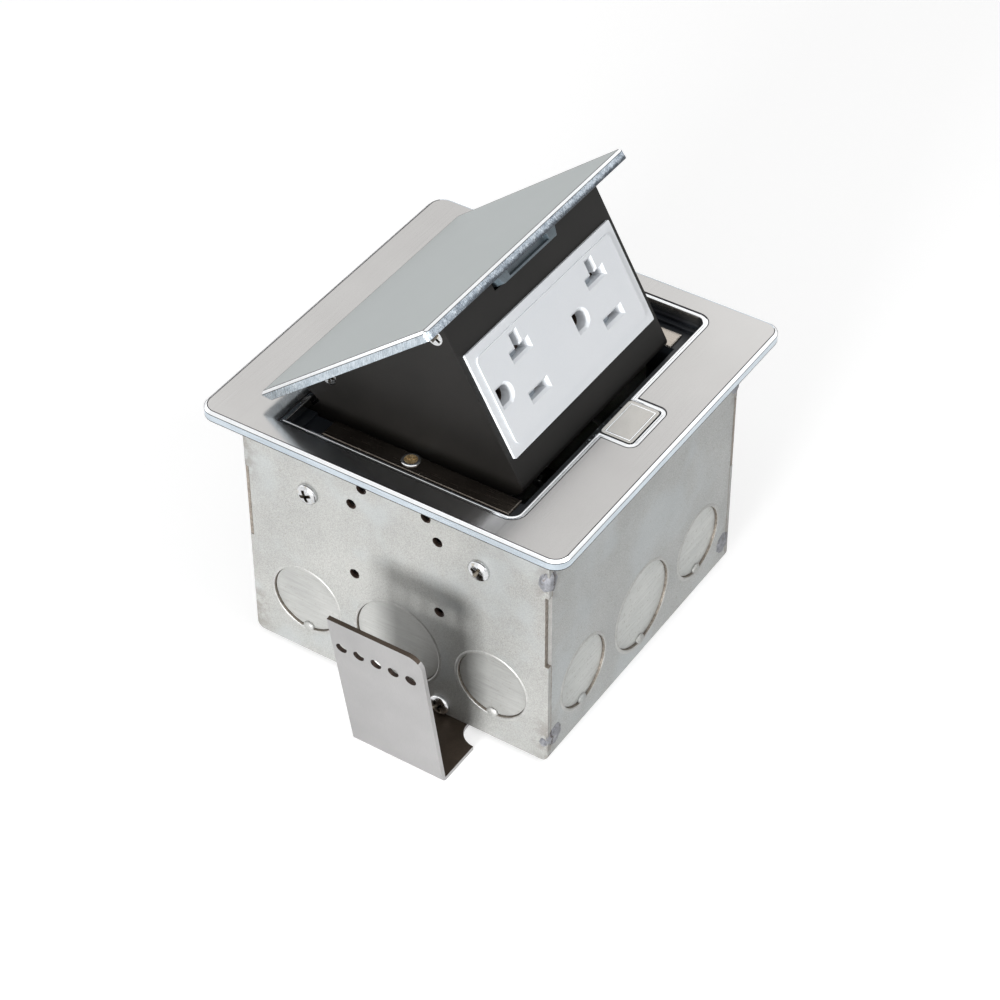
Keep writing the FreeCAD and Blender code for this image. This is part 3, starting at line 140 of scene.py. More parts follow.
# Places of the screws, in mm
BOX_SCREW_Y = 28.65
BOX_SCREW_Z = -19.65
BRACKET_SCREW_Y = 14.05
BRACKET_SCREW_Z = -79.4
LID_SCREW_X = 38.0
LID_SCREW_Z = -2.2
LID_SCREW_FRONT, LID_SCREW_REAR = -27.6, 18.5
RAIL_SCREW_X = 41.75
RAIL_TOP = -0.5


# Shader helpers


def node_of(tree, kind, **values):
    """A shader node with its properties set."""
    made = tree.nodes.new(kind)
    for name, value in values.items():
        setattr(made, name, value)
    return made


def feed(tree, socket, value):
    """Links a socket to a socket, or sets its value."""
    if isinstance(value, bpy.types.NodeSocket):
        tree.links.new(value, socket)
    else:
        socket.default_value = value


def noise(tree, scale, stretch=(1, 1, 1), turn=(0, 0, 0), detail=3.0):
    """A noise value over the object's own coordinates, in features per metre."""
    place = node_of(tree, "ShaderNodeTexCoord")
    mapping = node_of(tree, "ShaderNodeMapping")
    mapping.inputs["Rotation"].default_value = turn
    mapping.inputs["Scale"].default_value = stretch
    made = node_of(tree, "ShaderNodeTexNoise")
    made.inputs["Scale"].default_value = scale
    made.inputs["Detail"].default_value = detail
    made.inputs["Roughness"].default_value = 0.55
    tree.links.new(place.outputs["Object"], mapping.inputs["Vector"])
    tree.links.new(mapping.outputs["Vector"], made.inputs["Vector"])
    return made.outputs["Fac"]


def ramp(tree, value, *stops):
    """A colour ramp over a value; each stop is a place and a grey or a colour."""
    made = node_of(tree, "ShaderNodeValToRGB")
    while len(made.color_ramp.elements) < len(stops):
        made.color_ramp.elements.new(0.5)
    for element, (place, tone) in zip(made.color_ramp.elements, stops):
        element.position = place
        element.color = (*tone, 1.0) if isinstance(tone, tuple) else (tone, tone, tone, 1.0)
    tree.links.new(value, made.inputs["Fac"])
    return made.outputs["Color"]


def blend(tree, kind, share, one, two):
    """Two colours mixed; share is a number or a socket."""
    made = node_of(tree, "ShaderNodeMix", data_type="RGBA", blend_type=kind)
    for place, value in ((0, share), (6, one), (7, two)):
        feed(tree, made.inputs[place], (*value, 1.0) if isinstance(value, tuple) else value)
    return made.outputs[2]


def maths(tree, kind, *values):
    """A maths node over numbers and sockets."""
    made = node_of(tree, "ShaderNodeMath", operation=kind)
    for socket, value in zip(made.inputs, values):
        feed(tree, socket, value)
    return made.outputs[0]


def fade(tree, value, start, end, low=0.0, high=1.0):
    """A smooth step of a value from low at start to high at end."""
    made = node_of(tree, "ShaderNodeMapRange", interpolation_type="SMOOTHSTEP")
    for name, number in (("From Min", start), ("From Max", end), ("To Min", low), ("To Max", high)):
        made.inputs[name].default_value = number
    tree.links.new(value, made.inputs["Value"])
    return made.outputs["Result"]


def place_of(tree):
    """The outputs X, Y and Z of the object's own coordinates, in metres."""
    place = node_of(tree, "ShaderNodeTexCoord")
    split = node_of(tree, "ShaderNodeSeparateXYZ")
    tree.links.new(place.outputs["Object"], split.inputs[0])
    return split.outputs


FINISH = {}


def finish(name, tones, cloud, metallic, rough, grain, shade=0.85, depth=0.01, specular=0.5, extra=None):
    """Adds a material: cloudy colour between two tones, fine grain in its colour, roughness and bump."""
    made = bpy.data.materials.new(name)
    made.use_nodes = True
    tree = made.node_tree
    shader = tree.nodes["Principled BSDF"]
    shader.inputs["Metallic"].default_value = metallic
    shader.inputs["Specular IOR Level"].default_value = specular
    colour = ramp(tree, noise(tree, cloud), (0.32, tones[0]), (0.68, tones[1]))
    fine = noise(tree, *grain, detail=4.0)
    colour = blend(tree, "MULTIPLY", 1.0, colour, ramp(tree, fine, (0.3, shade), (0.7, 1.0)))
    if extra:
        colour = extra(tree, colour)
    tree.links.new(colour, shader.inputs["Base Color"])
    tree.links.new(ramp(tree, fine, (0.25, rough[0]), (0.75, rough[1])), shader.inputs["Roughness"])
    lift = node_of(tree, "ShaderNodeBump")
    lift.inputs["Strength"].default_value = 0.4
    lift.inputs["Distance"].default_value = depth * MM
    tree.links.new(fine, lift.inputs["Height"])
    tree.links.new(lift.outputs["Normal"], shader.inputs["Normal"])
    FINISH[name] = made


def spots(scale, start, end, tone, share):
    """An extra layer: spots of one tone where a noise is high."""
    def layer(tree, colour):
        mask = fade(tree, noise(tree, scale, detail=2.0), start, end, 0.0, share)
        return blend(tree, "MIX", mask, colour, tone)
    return layer


def layers(*parts):
    """Several extra layers, one over the other."""
    def layer(tree, colour):
        for part in parts:
            colour = part(tree, colour)
        return colour
    return layer


def seam_dirt(tree, colour):
    """Brown dirt and heat marks along the box's upright corners, strongest at the welds."""
    place = place_of(tree)
    across = maths(tree, "SUBTRACT", BOX_X * MM, maths(tree, "ABSOLUTE", place["X"]))
    along = maths(tree, "ABSOLUTE", maths(tree, "SUBTRACT", place["Y"], BOX_MIDDLE * MM))
    along = maths(tree, "SUBTRACT", (BOX_REAR - BOX_MIDDLE) * MM, along)
    across = maths(tree, "POWER", across, 2.0)
    along = maths(tree, "POWER", along, 2.0)
    away = maths(tree, "SQRT", maths(tree, "ADD", across, along))
    near = fade(tree, away, 0.5 * MM, 7 * MM, 0.55, 0.0)
    from_low = maths(tree, "ABSOLUTE", maths(tree, "SUBTRACT", place["Z"], HEAT_LOW * MM))
    from_high = maths(tree, "ABSOLUTE", maths(tree, "SUBTRACT", place["Z"], HEAT_HIGH * MM))
    low = fade(tree, from_low, 4 * MM, 11 * MM, 1.0, 0.25)
    high = fade(tree, from_high, 3 * MM, 10 * MM, 1.0, 0.25)
    heat = maths(tree, "MULTIPLY", near, maths(tree, "MAXIMUM", low, high))
    heat = maths(tree, "MULTIPLY", heat, fade(tree, noise(tree, 420.0, detail=4.0), 0.35, 0.6))
    return blend(tree, "MIX", heat, colour, (0.17, 0.15, 0.13))


def lid_shade(tree, colour):
    """Painted shade: darkens the lower half of the lid's front edge away from its near corner, with a broken
    limit.
    """
    place = node_of(tree, "ShaderNodeTexCoord")
    along = node_of(tree, "ShaderNodeVectorMath", operation="DOT_PRODUCT")
    along.inputs[1].default_value = LID_NORMAL
    tree.links.new(place.outputs["Object"], along.inputs[0])
    under = maths(tree, "SUBTRACT", LID_TOP * MM, along.outputs["Value"])
    under = maths(tree, "ADD", under, maths(tree, "MULTIPLY", noise(tree, 900.0), 1.6 * MM))
    lower = fade(tree, under, 2.6 * MM, 3.6 * MM, 0.0, 0.85)
    farther = fade(tree, place_of(tree)["X"], -46 * MM, -22 * MM, 0.1, 1.0)
    return blend(tree, "MIX", maths(tree, "MULTIPLY", lower, farther), colour, (0.03, 0.034, 0.04))


def weld_crack(tree, colour):
    """A dark crack through the welds, along the seam between the sheets."""
    away = maths(tree, "SUBTRACT", maths(tree, "ABSOLUTE", place_of(tree)["X"]), SEAM_X * MM)
    wander = maths(tree, "MULTIPLY", maths(tree, "SUBTRACT", noise(tree, 500.0), 0.5), 3 * MM)
    away = maths(tree, "ABSOLUTE", maths(tree, "ADD", away, wander))
    crack = fade(tree, away, 0.1 * MM, 0.4 * MM, 0.85, 0.0)
    return blend(tree, "MIX", crack, colour, (0.04, 0.03, 0.026))


SHEET_SPOTS = spots(1300.0, 0.60, 0.72, (0.27, 0.255, 0.22), 0.5)
BLUE_BLOTCH = spots(55.0, 0.50, 0.68, (0.40, 0.427, 0.437), 0.4)
COOL_BLOTCH = spots(45.0, 0.46, 0.66, (0.46, 0.505, 0.525), 0.36)
LID_GLINTS = spots(2600.0, 0.57, 0.70, (0.85, 0.89, 0.94), 0.6)

# Each finish: two tones, scale of its clouds, metallic, range of roughness, grain (scale, stretch, turn),
# darkest grain, depth of the bump in mm
finish("stainless", ((0.555, 0.545, 0.535), (0.595, 0.585, 0.575)), 25, 1.0, (0.16, 0.24),
       (5200, (0.008, 1, 1)), 0.955, 0.003)
# Near-white steel on the bevels, the band round the opening and the beads: painted highlight.
finish("painted_highlight", ((0.88, 0.90, 0.92), (0.94, 0.95, 0.96)), 60, 1.0, (0.10, 0.18), (900,), 0.97, 0.002)
# Lighter, bluer copy of the plate's steel for its outer sides and the far side of its outline line: painted
# highlight.
finish("plate_side", ((0.56, 0.63, 0.69), (0.66, 0.73, 0.79)), 60, 1.0, (0.18, 0.3),
       (1500, (0.05, 0.05, 1)), 0.85)
# Near-black lines along edges, steps and gaps: painted shade; under the plate's edge it is a painted shadow.
finish("painted_shade_line", ((0.035, 0.035, 0.038), (0.07, 0.068, 0.068)), 300, 1.0, (0.3, 0.45), (1500,))
finish("lid_metal", ((0.43, 0.463, 0.463), (0.452, 0.485, 0.485)), 18, 0.6, (0.40, 0.46),
       (4200,), 0.95, 0.003)
# Lighter, bluer copy of the lid's steel for its side and rear edges: painted highlight, with light specks as
# painted glints.
finish("lid_edge", ((0.45, 0.52, 0.58), (0.66, 0.73, 0.79)), 420, 1.0, (0.2, 0.35),
       (2600, (1, 1, 0.22), LID_TURN), 0.7, 0.02,
       extra=spots(2600.0, 0.58, 0.72, (0.88, 0.92, 0.96), 0.6))
# Darker copy of the lid's steel for its front edge and underside: painted shade, with painted glints and a
# painted darker lower half.
finish("lid_front", ((0.28, 0.33, 0.39), (0.58, 0.65, 0.72)), 420, 1.0, (0.2, 0.4),
       (2600, (1, 1, 0.22), LID_TURN), 0.5, 0.03, extra=layers(LID_GLINTS, lid_shade))
finish("gasket_rubber", ((0.02, 0.02, 0.022), (0.035, 0.035, 0.04)), 100, 0.0, (0.6, 0.8), (1500,))
finish("black_plastic", ((0.008, 0.010, 0.013), (0.014, 0.017, 0.021)), 80, 0.0, (0.28, 0.42),
       (2500,), 0.8, 0.01)
finish("slate_plastic", ((0.085, 0.115, 0.135), (0.14, 0.175, 0.20)), 200, 0.0, (0.25, 0.4), (2500,))
finish("rail_nickel", ((0.46, 0.41, 0.355), (0.56, 0.51, 0.455)), 60, 1.0, (0.12, 0.24),
       (2600, (1, 0.02, 1)), 0.85, 0.005)
# Darker, browner copy of the rails' nickel for the left rail: painted reflection of the black carrier beside
# it, with lighter specks.
finish("rail_dark_reflection", ((0.15, 0.125, 0.105), (0.22, 0.19, 0.16)), 60, 1.0, (0.16, 0.3),
       (2600, (1, 0.05, 1)), 0.75, 0.01, extra=spots(1800.0, 0.62, 0.72, (0.5, 0.45, 0.4), 0.5))
# High-contrast grain on the rails' rounded edges: painted glints.
finish("rail_edge", ((0.10, 0.09, 0.08), (0.75, 0.70, 0.64)), 900, 1.0, (0.15, 0.4), (2600,), 0.3, 0.05)
finish("galvanised", ((0.40, 0.403, 0.389), (0.475, 0.477, 0.459)), 38, 0.35, (0.42, 0.56),
       (2900,), 0.62, 0.02, extra=layers(SHEET_SPOTS, BLUE_BLOTCH, seam_dirt))
# Cooler copy of the galvanised sheet, with bluish blotches, for the wrap's front, bottom and rear: painted
# light.
finish("galvanised_cool", ((0.455, 0.465, 0.457), (0.535, 0.545, 0.535)), 38, 0.42, (0.40, 0.54),
       (2900,), 0.56, 0.025, extra=layers(SHEET_SPOTS, COOL_BLOTCH, seam_dirt))
finish("galvanised_rim", ((0.40, 0.40, 0.385), (0.50, 0.50, 0.485)), 200, 0.4, (0.36, 0.48),
       (2600,), 0.7, 0.01)
finish("slug_side", ((0.37, 0.374, 0.362), (0.435, 0.437, 0.423)), 60, 0.35, (0.42, 0.56),
       (1900, (1, 0.06, 1), (0.14, 0, 0)), 0.80, 0.02, extra=SHEET_SPOTS)
finish("slug_front", ((0.53, 0.545, 0.53), (0.61, 0.62, 0.60)), 60, 0.42, (0.40, 0.54),
       (1900, (0.06, 1, 1), (0, 0.14, 0)), 0.80, 0.02, extra=SHEET_SPOTS)
finish("seam_edge", ((0.30, 0.297, 0.285), (0.36, 0.357, 0.345)), 300, 0.2, (0.4, 0.55),
       (2600,), 0.7, 0.01)
finish("weld", ((0.20, 0.205, 0.225), (0.38, 0.385, 0.41)), 500, 0.4, (0.45, 0.65), (1300,), 0.6, 0.08,
       extra=layers(spots(800.0, 0.60, 0.70, (0.13, 0.105, 0.09), 0.7), weld_crack))
# Near-black brown for the walls of tapped and bracket holes, the threads and the plates deep in the slots:
# partly corrosion on the threads, mostly painted shade in the holes and slots.
finish("rust_and_painted_shade", ((0.020, 0.011, 0.008), (0.060, 0.034, 0.023)), 700, 0.2, (0.5, 0.8), (2600,), 0.6, 0.05)
finish("sheared", ((0.22, 0.19, 0.16), (0.38, 0.34, 0.295)), 900, 0.5, (0.35, 0.6), (2600,), 0.6, 0.03)
finish("bracket_steel", ((0.40, 0.395, 0.395), (0.465, 0.46, 0.46)), 30, 1.0, (0.30, 0.44),
       (2800, (1, 1, 0.08)), 0.90, 0.008)
# Dark brown for the brackets' faces that look at the box or up: painted shade.
finish("bracket_painted_shade", ((0.046, 0.034, 0.025), (0.085, 0.064, 0.048)), 60, 0.7, (0.35, 0.5),
       (2200,), 0.8, 0.01)
finish("zinc", ((0.60, 0.61, 0.62), (0.80, 0.81, 0.82)), 300, 1.0, (0.12, 0.26), (2000,), 0.8, 0.01,
       extra=spots(500.0, 0.60, 0.72, (0.42, 0.36, 0.24), 0.5))
# Dark finish inside the screws' cross recesses: painted shade.
finish("recess", ((0.10, 0.09, 0.08), (0.30, 0.27, 0.22)), 700, 1.0, (0.25, 0.4), (2000,), 0.6, 0.01)
finish("brass_recess", ((0.42, 0.27, 0.12), (0.80, 0.60, 0.32)), 700, 0.4, (0.2, 0.35),
       (2000,), 0.6, 0.01)
finish("green_zinc", ((0.08, 0.30, 0.16), (0.12, 0.40, 0.22)), 300, 1.0, (0.2, 0.35), (2000,))
finish("spring_steel", ((0.42, 0.42, 0.43), (0.55, 0.55, 0.56)), 300, 1.0, (0.2, 0.35), (2500,))
finish("button_nickel", ((0.55, 0.535, 0.505), (0.63, 0.615, 0.585)), 100, 1.0, (0.26, 0.38),
       (3000,), 0.9, 0.004)
# Near-black latch steel in the well: painted shade, with light specks as painted glints.
finish("latch_steel", ((0.02, 0.022, 0.024), (0.05, 0.054, 0.057)), 200, 1.0, (0.3, 0.5),
       (2000,), 0.7, 0.02, extra=spots(900.0, 0.62, 0.70, (0.5, 0.56, 0.58), 0.8))
finish("black_sheet", ((0.0055, 0.0050, 0.0044), (0.009, 0.0081, 0.0072)), 60, 0.0, (0.40, 0.52),
       (4200,), 0.6, 0.02, specular=0.24)
finish("white_plastic", ((0.775, 0.80, 0.832), (0.80, 0.822, 0.85)), 40, 0.0, (0.45, 0.55),
       (2500,), 0.98, 0.003, specular=0.2)
finish("shutter", ((0.26, 0.30, 0.34), (0.34, 0.38, 0.42)), 300, 0.0, (0.4, 0.5), (2500,), 0.9, 0.005)
finish("grey_plastic", ((0.25, 0.26, 0.27), (0.32, 0.33, 0.34)), 60, 0.0, (0.4, 0.5), (2500,))
finish("strap_steel", ((0.5, 0.5, 0.49), (0.64, 0.64, 0.62)), 100, 1.0, (0.3, 0.45), (1800,))
finish("brass", ((0.62, 0.42, 0.16), (0.76, 0.54, 0.24)), 150, 1.0, (0.2, 0.35), (2000,))

SLOT_OF = {entry["node"]: entry["material_slot"] for entry in frame["record"]["subparts"]}
for name, slot in SLOT_OF.items():
    nodes[name].data.materials.clear()
    nodes[name].data.materials.append(FINISH[slot])


# Second finishes on faces of the CAD nodes, chosen by their normal and their centre in mm

PLATE_RIM = 56
SLUG_SIDE_X = 48
SLOT_WALL_Y = 48.5
WRAP_WALL_Y = 45
WRAP_EDGE_Y = 40


def more_finish(name, finish_name):
    """Adds a finish to a CAD node and gives its place in the list."""
    item = nodes[name].data
    item.materials.append(FINISH[finish_name])
    return len(item.materials) - 1


def repaint(name, finish_name, test):
    """Gives a second finish to the faces of a CAD node that pass a test on normal and centre."""
    index = more_finish(name, finish_name)
    for face in nodes[name].data.polygons:
        if test(face.normal, face.center / MM):
            face.material_index = index


def every_face(normal, centre):
    """True for each face."""
    return True


def plate_band(normal, centre):
    """Whether a face of the plate is on its bevel or on the band round the opening."""
    return 0.2 < normal.z < 0.98 or normal.z > 0.9 and centre.z < PLATE_TOP - 0.1


def plate_wall(normal, centre):
    """Whether a face of the plate is on its outer side."""
    return abs(normal.z) < 0.2 and max(abs(centre.x), abs(centre.y)) > PLATE_RIM


def plate_step(normal, centre):
    """Whether a face of the plate is the small step beside the band."""
    return abs(normal.z) < 0.2 and centre.z > PLATE_TOP - 0.2


def lid_side(normal, centre):
    """Whether a face of the lid is on its edge or underside."""
    return normal.dot(LID_NORMAL) < 0.3


def lid_nose(normal, centre):
    """Whether a face of the lid is on its front edge or underside."""
    return lid_side(normal, centre) and abs(normal.x) < 0.5 and normal.y < 0


def lid_bevel(normal, centre):
    """Whether a face of the lid is on its bevel."""
    return 0.3 < normal.dot(LID_NORMAL) < 0.9


def button_wall(normal, centre):
    """Whether a face of the button is on its outer side."""
    across = abs(centre.x) > BUTTON_X - 0.3
    along = abs(centre.y - BUTTON_MIDDLE) > BUTTON_Y - 0.3
    return abs(normal.z) < 0.3 and (across or along)


def in_tapped_hole(normal, centre):
    """Whether a face of a side sheet is the wall of a tapped hole."""
    off = [math.hypot(abs(centre.y - BOX_MIDDLE) - y, centre.z - z) for y, z in TAPPED]
    return abs(normal.x) < 0.5 and min(off) < TAPPED_RADIUS


def in_knockout(across, z):
    """Whether a point of a wall is on the edge of a knockout's hole."""
    return any(abs(math.hypot(across - place, z - KNOCKOUT_Z) - radius) < 0.4 for place, radius in KNOCKOUTS)


def sheared_side(normal, centre):
    """Whether a face of a side sheet is a knockout's wall or a seam slot's wall."""
    if abs(normal.x) > 0.5:
        return False
    in_slot = SLOT_LOW < centre.z < SLOT_HIGH and abs(centre.y - BOX_MIDDLE) > SLOT_WALL_Y
    return in_slot or in_knockout(centre.y - BOX_MIDDLE, centre.z)


def sheared_wrap(normal, centre):
    """Whether a face of the wrap is a knockout's wall or its rear edge in a seam slot."""
    if abs(normal.x) > 0.9 and centre.y > WRAP_EDGE_Y:
        return True
    return abs(normal.y) < 0.5 and abs(centre.y) > WRAP_WALL_Y and in_knockout(centre.x, centre.z)


def wrap_front_edge(normal, centre):
    """Whether a face of the wrap is its front edge in a seam slot."""
    return abs(normal.x) > 0.9 and centre.y < -WRAP_EDGE_Y


def side_slug(normal, centre):
    """Whether a face of a knockout is in a side sheet."""
    return abs(centre.x) > SLUG_SIDE_X


def wrap_slug(normal, centre):
    """Whether a face of a knockout is in the wrap."""
    return abs(centre.x) < SLUG_SIDE_X


def bracket_inside(out):
    """A test for the faces of a bracket that look at the box or up; out is the side that it is on."""
    def test(normal, centre):
        return normal.x * out < 0.4 and abs(normal.y) < 0.8 and normal.z > -0.5
    return test


def in_bracket_hole(normal, centre):
    """Whether a face of a bracket is the wall of a hole in its row."""
    in_row = abs(centre.z - BRACKET_ROW_Z) < BRACKET_HOLE and abs(centre.y) < BRACKET_ROW_HALF
    return abs(normal.x) < 0.6 and in_row


for name, finish_name, test in (
    ("cover_plate", "painted_highlight", plate_band),
    ("cover_plate", "plate_side", plate_wall),
    ("cover_plate", "painted_shade_line", plate_step),
    ("lid", "lid_edge", lid_side),
    ("lid", "lid_front", lid_nose),
    ("lid", "painted_highlight", lid_bevel),
    ("box_side_left", "rust_and_painted_shade", in_tapped_hole),
    ("box_side_left", "sheared", sheared_side),
    ("box_side_right", "rust_and_painted_shade", in_tapped_hole),
    ("box_side_right", "sheared", sheared_side),
    ("box_wrap", "galvanised_cool", every_face),
    ("box_wrap", "seam_edge", wrap_front_edge),
    ("box_wrap", "sheared", sheared_wrap),
    ("knockouts_small", "slug_side", side_slug),
    ("knockouts_small", "slug_front", wrap_slug),
    ("knockouts_large", "slug_side", side_slug),
    ("knockouts_large", "slug_front", wrap_slug),
    ("side_rail_left", "rail_dark_reflection", every_face),
    ("push_button", "painted_shade_line", button_wall),
    ("bracket_left", "bracket_painted_shade", bracket_inside(-1)),
    ("bracket_left", "rust_and_painted_shade", in_bracket_hole),
    ("bracket_right", "bracket_painted_shade", bracket_inside(1)),
    ("bracket_right", "rust_and_painted_shade", in_bracket_hole),
):
    repaint(name, finish_name, test)


# Softened edges on the CAD nodes that show


def smoother():
    """A node group that shades smooth across edges below a limit angle."""
    group = bpy.data.node_groups.new("smooth_by_angle", "GeometryNodeTree")
    group.interface.new_socket("Geometry", in_out="INPUT", socket_type="NodeSocketGeometry")
    group.interface.new_socket("Geometry", in_out="OUTPUT", socket_type="NodeSocketGeometry")
    start = group.nodes.new("NodeGroupInput")
    end = group.nodes.new("NodeGroupOutput")
    bare = group.nodes.new("GeometryNodeRemoveAttribute")
    bare.inputs["Name"].default_value = "custom_normal"
    smooth = group.nodes.new("GeometryNodeSetShadeSmooth")
    sharp = group.nodes.new("GeometryNodeSetShadeSmooth")
    sharp.domain = "EDGE"
    sharp.inputs["Shade Smooth"].default_value = False
    angle = group.nodes.new("GeometryNodeInputMeshEdgeAngle")
    over = group.nodes.new("FunctionNodeCompare")
    over.operation = "GREATER_THAN"
    over.inputs[1].default_value = math.radians(32)
    group.links.new(start.outputs[0], bare.inputs["Geometry"])
    group.links.new(bare.outputs[0], smooth.inputs["Geometry"])
    group.links.new(smooth.outputs[0], sharp.inputs["Geometry"])
    group.links.new(angle.outputs["Unsigned Angle"], over.inputs[0])
    group.links.new(over.outputs[0], sharp.inputs["Selection"])
    group.links.new(sharp.outputs[0], end.inputs[0])
    return group


SMOOTHER = smoother()

# Joined to one face, the frame's ledge would close the button's well when its edges are rounded
KEPT_TRIANGLES = ("inner_frame",)


def soften(name, width, segments, line):
    """Rounds the sharp edges of a CAD node; line names a finish for the rounded strip, or is None."""
    item = nodes[name]
    weld = item.modifiers.new("weld", "WELD")
    weld.merge_threshold = 1e-6
    if name not in KEPT_TRIANGLES:
        flat = item.modifiers.new("flat", "DECIMATE")
        flat.decimate_type = "DISSOLVE"
        flat.angle_limit = math.radians(0.5)
        flat.delimit = {"MATERIAL"}
    bevel = item.modifiers.new("bevel", "BEVEL")
    bevel.width = width * MM
    bevel.segments = segments
    bevel.limit_method = "ANGLE"
    bevel.angle_limit = math.radians(28)
    bevel.use_clamp_overlap = True
    if line:
        bevel.material = more_finish(name, line)
    smooth = item.modifiers.new("smooth", "NODES")
    smooth.node_group = SMOOTHER
    even = item.modifiers.new("even", "WEIGHTED_NORMAL")
    even.weight = 100
    even.keep_sharp = True


for name, width, segments, line in (
    ("cover_plate", 0.08, 1, None),
    ("lid", 0.10, 1, "painted_shade_line"),
    ("carrier", 0.35, 2, None),
    ("receptacle_cover", 0.15, 2, None),
    ("box_side_left", 0.20, 2, None),
    ("box_side_right", 0.20, 2, None),
    ("box_wrap", 0.20, 2, None),
    ("knockouts_small", 0.10, 1, None),
    ("knockouts_large", 0.10, 1, None),
    ("bracket_left", 0.22, 2, None),
    ("bracket_right", 0.22, 2, None),
    ("side_rail_left", 0.14, 1, "rail_edge"),
    ("side_rail_right", 0.14, 1, "rail_edge"),
    ("push_button", 0.15, 2, None),
    ("inner_frame", 0.22, 2, None),
    ("latch_catch", 0.15, 2, None),
):
    soften(name, width, segments, line)


# Mesh helpers for the new pieces, in mm


def as_mesh(made, name):
    """A mesh from an edited one, with its faces turned outward."""
    bmesh.ops.recalc_face_normals(made, faces=made.faces)
    mesh = bpy.data.meshes.new(name)
    made.to_mesh(mesh)
    made.free()
    return mesh


def lathe(profile, steps):
    """A closed turned mesh about Z from its radius and height pairs."""
    made = bmesh.new()
    rings = []
    for radius, height in profile:
        if radius == 0:
            rings.append([made.verts.new((0, 0, height))])
            continue
        turns = [2 * math.pi * i / steps for i in range(steps)]
        rings.append([made.verts.new((radius * math.cos(a), radius * math.sin(a), height)) for a in turns])
    for one, two in zip(rings, rings[1:]):
        for i in range(steps):
            j = (i + 1) % steps
            around = [one[i % len(one)], one[j % len(one)], two[j % len(two)], two[i % len(two)]]
            corners = []
            for vertex in around:
                if vertex not in corners:
                    corners.append(vertex)
            made.faces.new(corners)
    return as_mesh(made, "turned")


def cross_cutter(reach, half, depth, top):
    """A tapered cross that cuts a driver recess from above."""
    made = bmesh.new()
    rings = []
    for arm, wide, height in ((reach, half, top), (reach * 0.45, half * 0.75, top - depth)):
        outline = ((arm, -wide), (arm, wide), (wide, wide), (wide, arm), (-wide, arm), (-wide, wide),
                   (-arm, wide), (-arm, -wide), (-wide, -wide), (-wide, -arm), (wide, -arm), (wide, -wide))
        rings.append([made.verts.new((x, y, height)) for x, y in outline])
    for i in range(len(rings[0])):
        made.faces.new((rings[0][i], rings[0][i - 1], rings[1][i - 1], rings[1][i]))
    made.faces.new(rings[0])
    made.faces.new(rings[1])
    return as_mesh(made, "cutter")


def carved(mesh, cutter):
    """A mesh with a second mesh cut out of it."""
    blank = bpy.data.objects.new("blank", mesh)
    tool = bpy.data.objects.new("tool", cutter)
    scene.collection.objects.link(blank)
    scene.collection.objects.link(tool)
    cut = blank.modifiers.new("cut", "BOOLEAN")
    cut.object = tool
    cut.operation = "DIFFERENCE"
    cut.solver = "EXACT"
    depsgraph = bpy.context.evaluated_depsgraph_get()
    made = bpy.data.meshes.new_from_object(blank.evaluated_get(depsgraph))
    made.materials.clear()
    bpy.data.objects.remove(blank)
    bpy.data.objects.remove(tool)
    return made


def moved(x, y, z):
    """A placement in mm without a turn."""
    return Matrix.Translation((x, y, z))


def standing(place, out, spin=0.0):
    """A placement in mm with local Z along a direction, turned about it."""
    turn = Vector((0, 0, 1)).rotation_difference(Vector(out)).to_matrix().to_4x4()
    return Matrix.Translation(Vector(place)) @ turn @ Matrix.Rotation(math.radians(spin), 4, "Z")


def hollow(mesh, reach, low, high):
    """Marks the faces of a screw's recess for the piece's second finish."""
    for face in mesh.polygons:
        inside = math.hypot(face.center.x, face.center.y) < reach and low < face.center.z < high
        face.material_index = 1 if inside else 0
    return mesh


def piece(name, parts, body, finish_name, replaced=(), second=None):
    """A new piece from meshes and their placements in mm; it rides on a body."""
    made = bmesh.new()
    for mesh, place in parts:
        copy = mesh.copy()
        copy.transform(TO_METRES @ place)
        made.from_mesh(copy)
        bpy.data.meshes.remove(copy)
    mesh = bpy.data.meshes.new(name)
    made.to_mesh(mesh)
    made.free()
    mesh.materials.append(FINISH[finish_name])
    if second:
        mesh.materials.append(FINISH[second])
    mesh.shade_smooth()
    mesh.set_sharp_from_angle(angle=math.radians(35))
    item = bpy.data.objects.new(name, mesh)
    scene.collection.objects.link(item)
    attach(item, body)
    if replaced:
        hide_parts(*replaced)


# Screws with a cross recess, in place of the plain CAD screws
PAN_PROFILE = ((0, -6.4), (1.6, -6.4), (2.0, -5.9), (2.0, 0), (3.3, 0), (3.4, 0.12), (3.4, 0.75),
               (3.25, 1.15), (2.85, 1.5), (2.2, 1.77), (1.3, 1.95), (0.6, 1.99), (0, 2.0))
SUNK_PROFILE = ((0, -2.6), (1.1, -2.6), (1.2, -1.2), (2.32, -0.12), (2.4, -0.04), (2.36, 0.0), (1.2, 0.0),
                (0, 0.0))
LOW_PROFILE = ((0, -2.7), (1.1, -2.7), (1.2, -2.4), (1.2, 0), (2.75, 0), (2.85, 0.08), (2.83, 0.22),
               (2.6, 0.42), (2.2, 0.52), (1.95, 0.44), (0, 0.42))
pan_screw = hollow(carved(lathe(PAN_PROFILE, 48), cross_cutter(2.35, 0.55, 1.9, 2.3)), 2.3, 0.05, 1.62)
sunk_screw = hollow(carved(lathe(SUNK_PROFILE, 40), cross_cutter(2.0, 0.46, 1.4, 0.2)), 1.9, -1.3, -0.02)
low_screw = hollow(carved(lathe(LOW_PROFILE, 40), cross_cutter(1.85, 0.5, 0.65, 0.7)), 1.96, 0.02, 0.47)
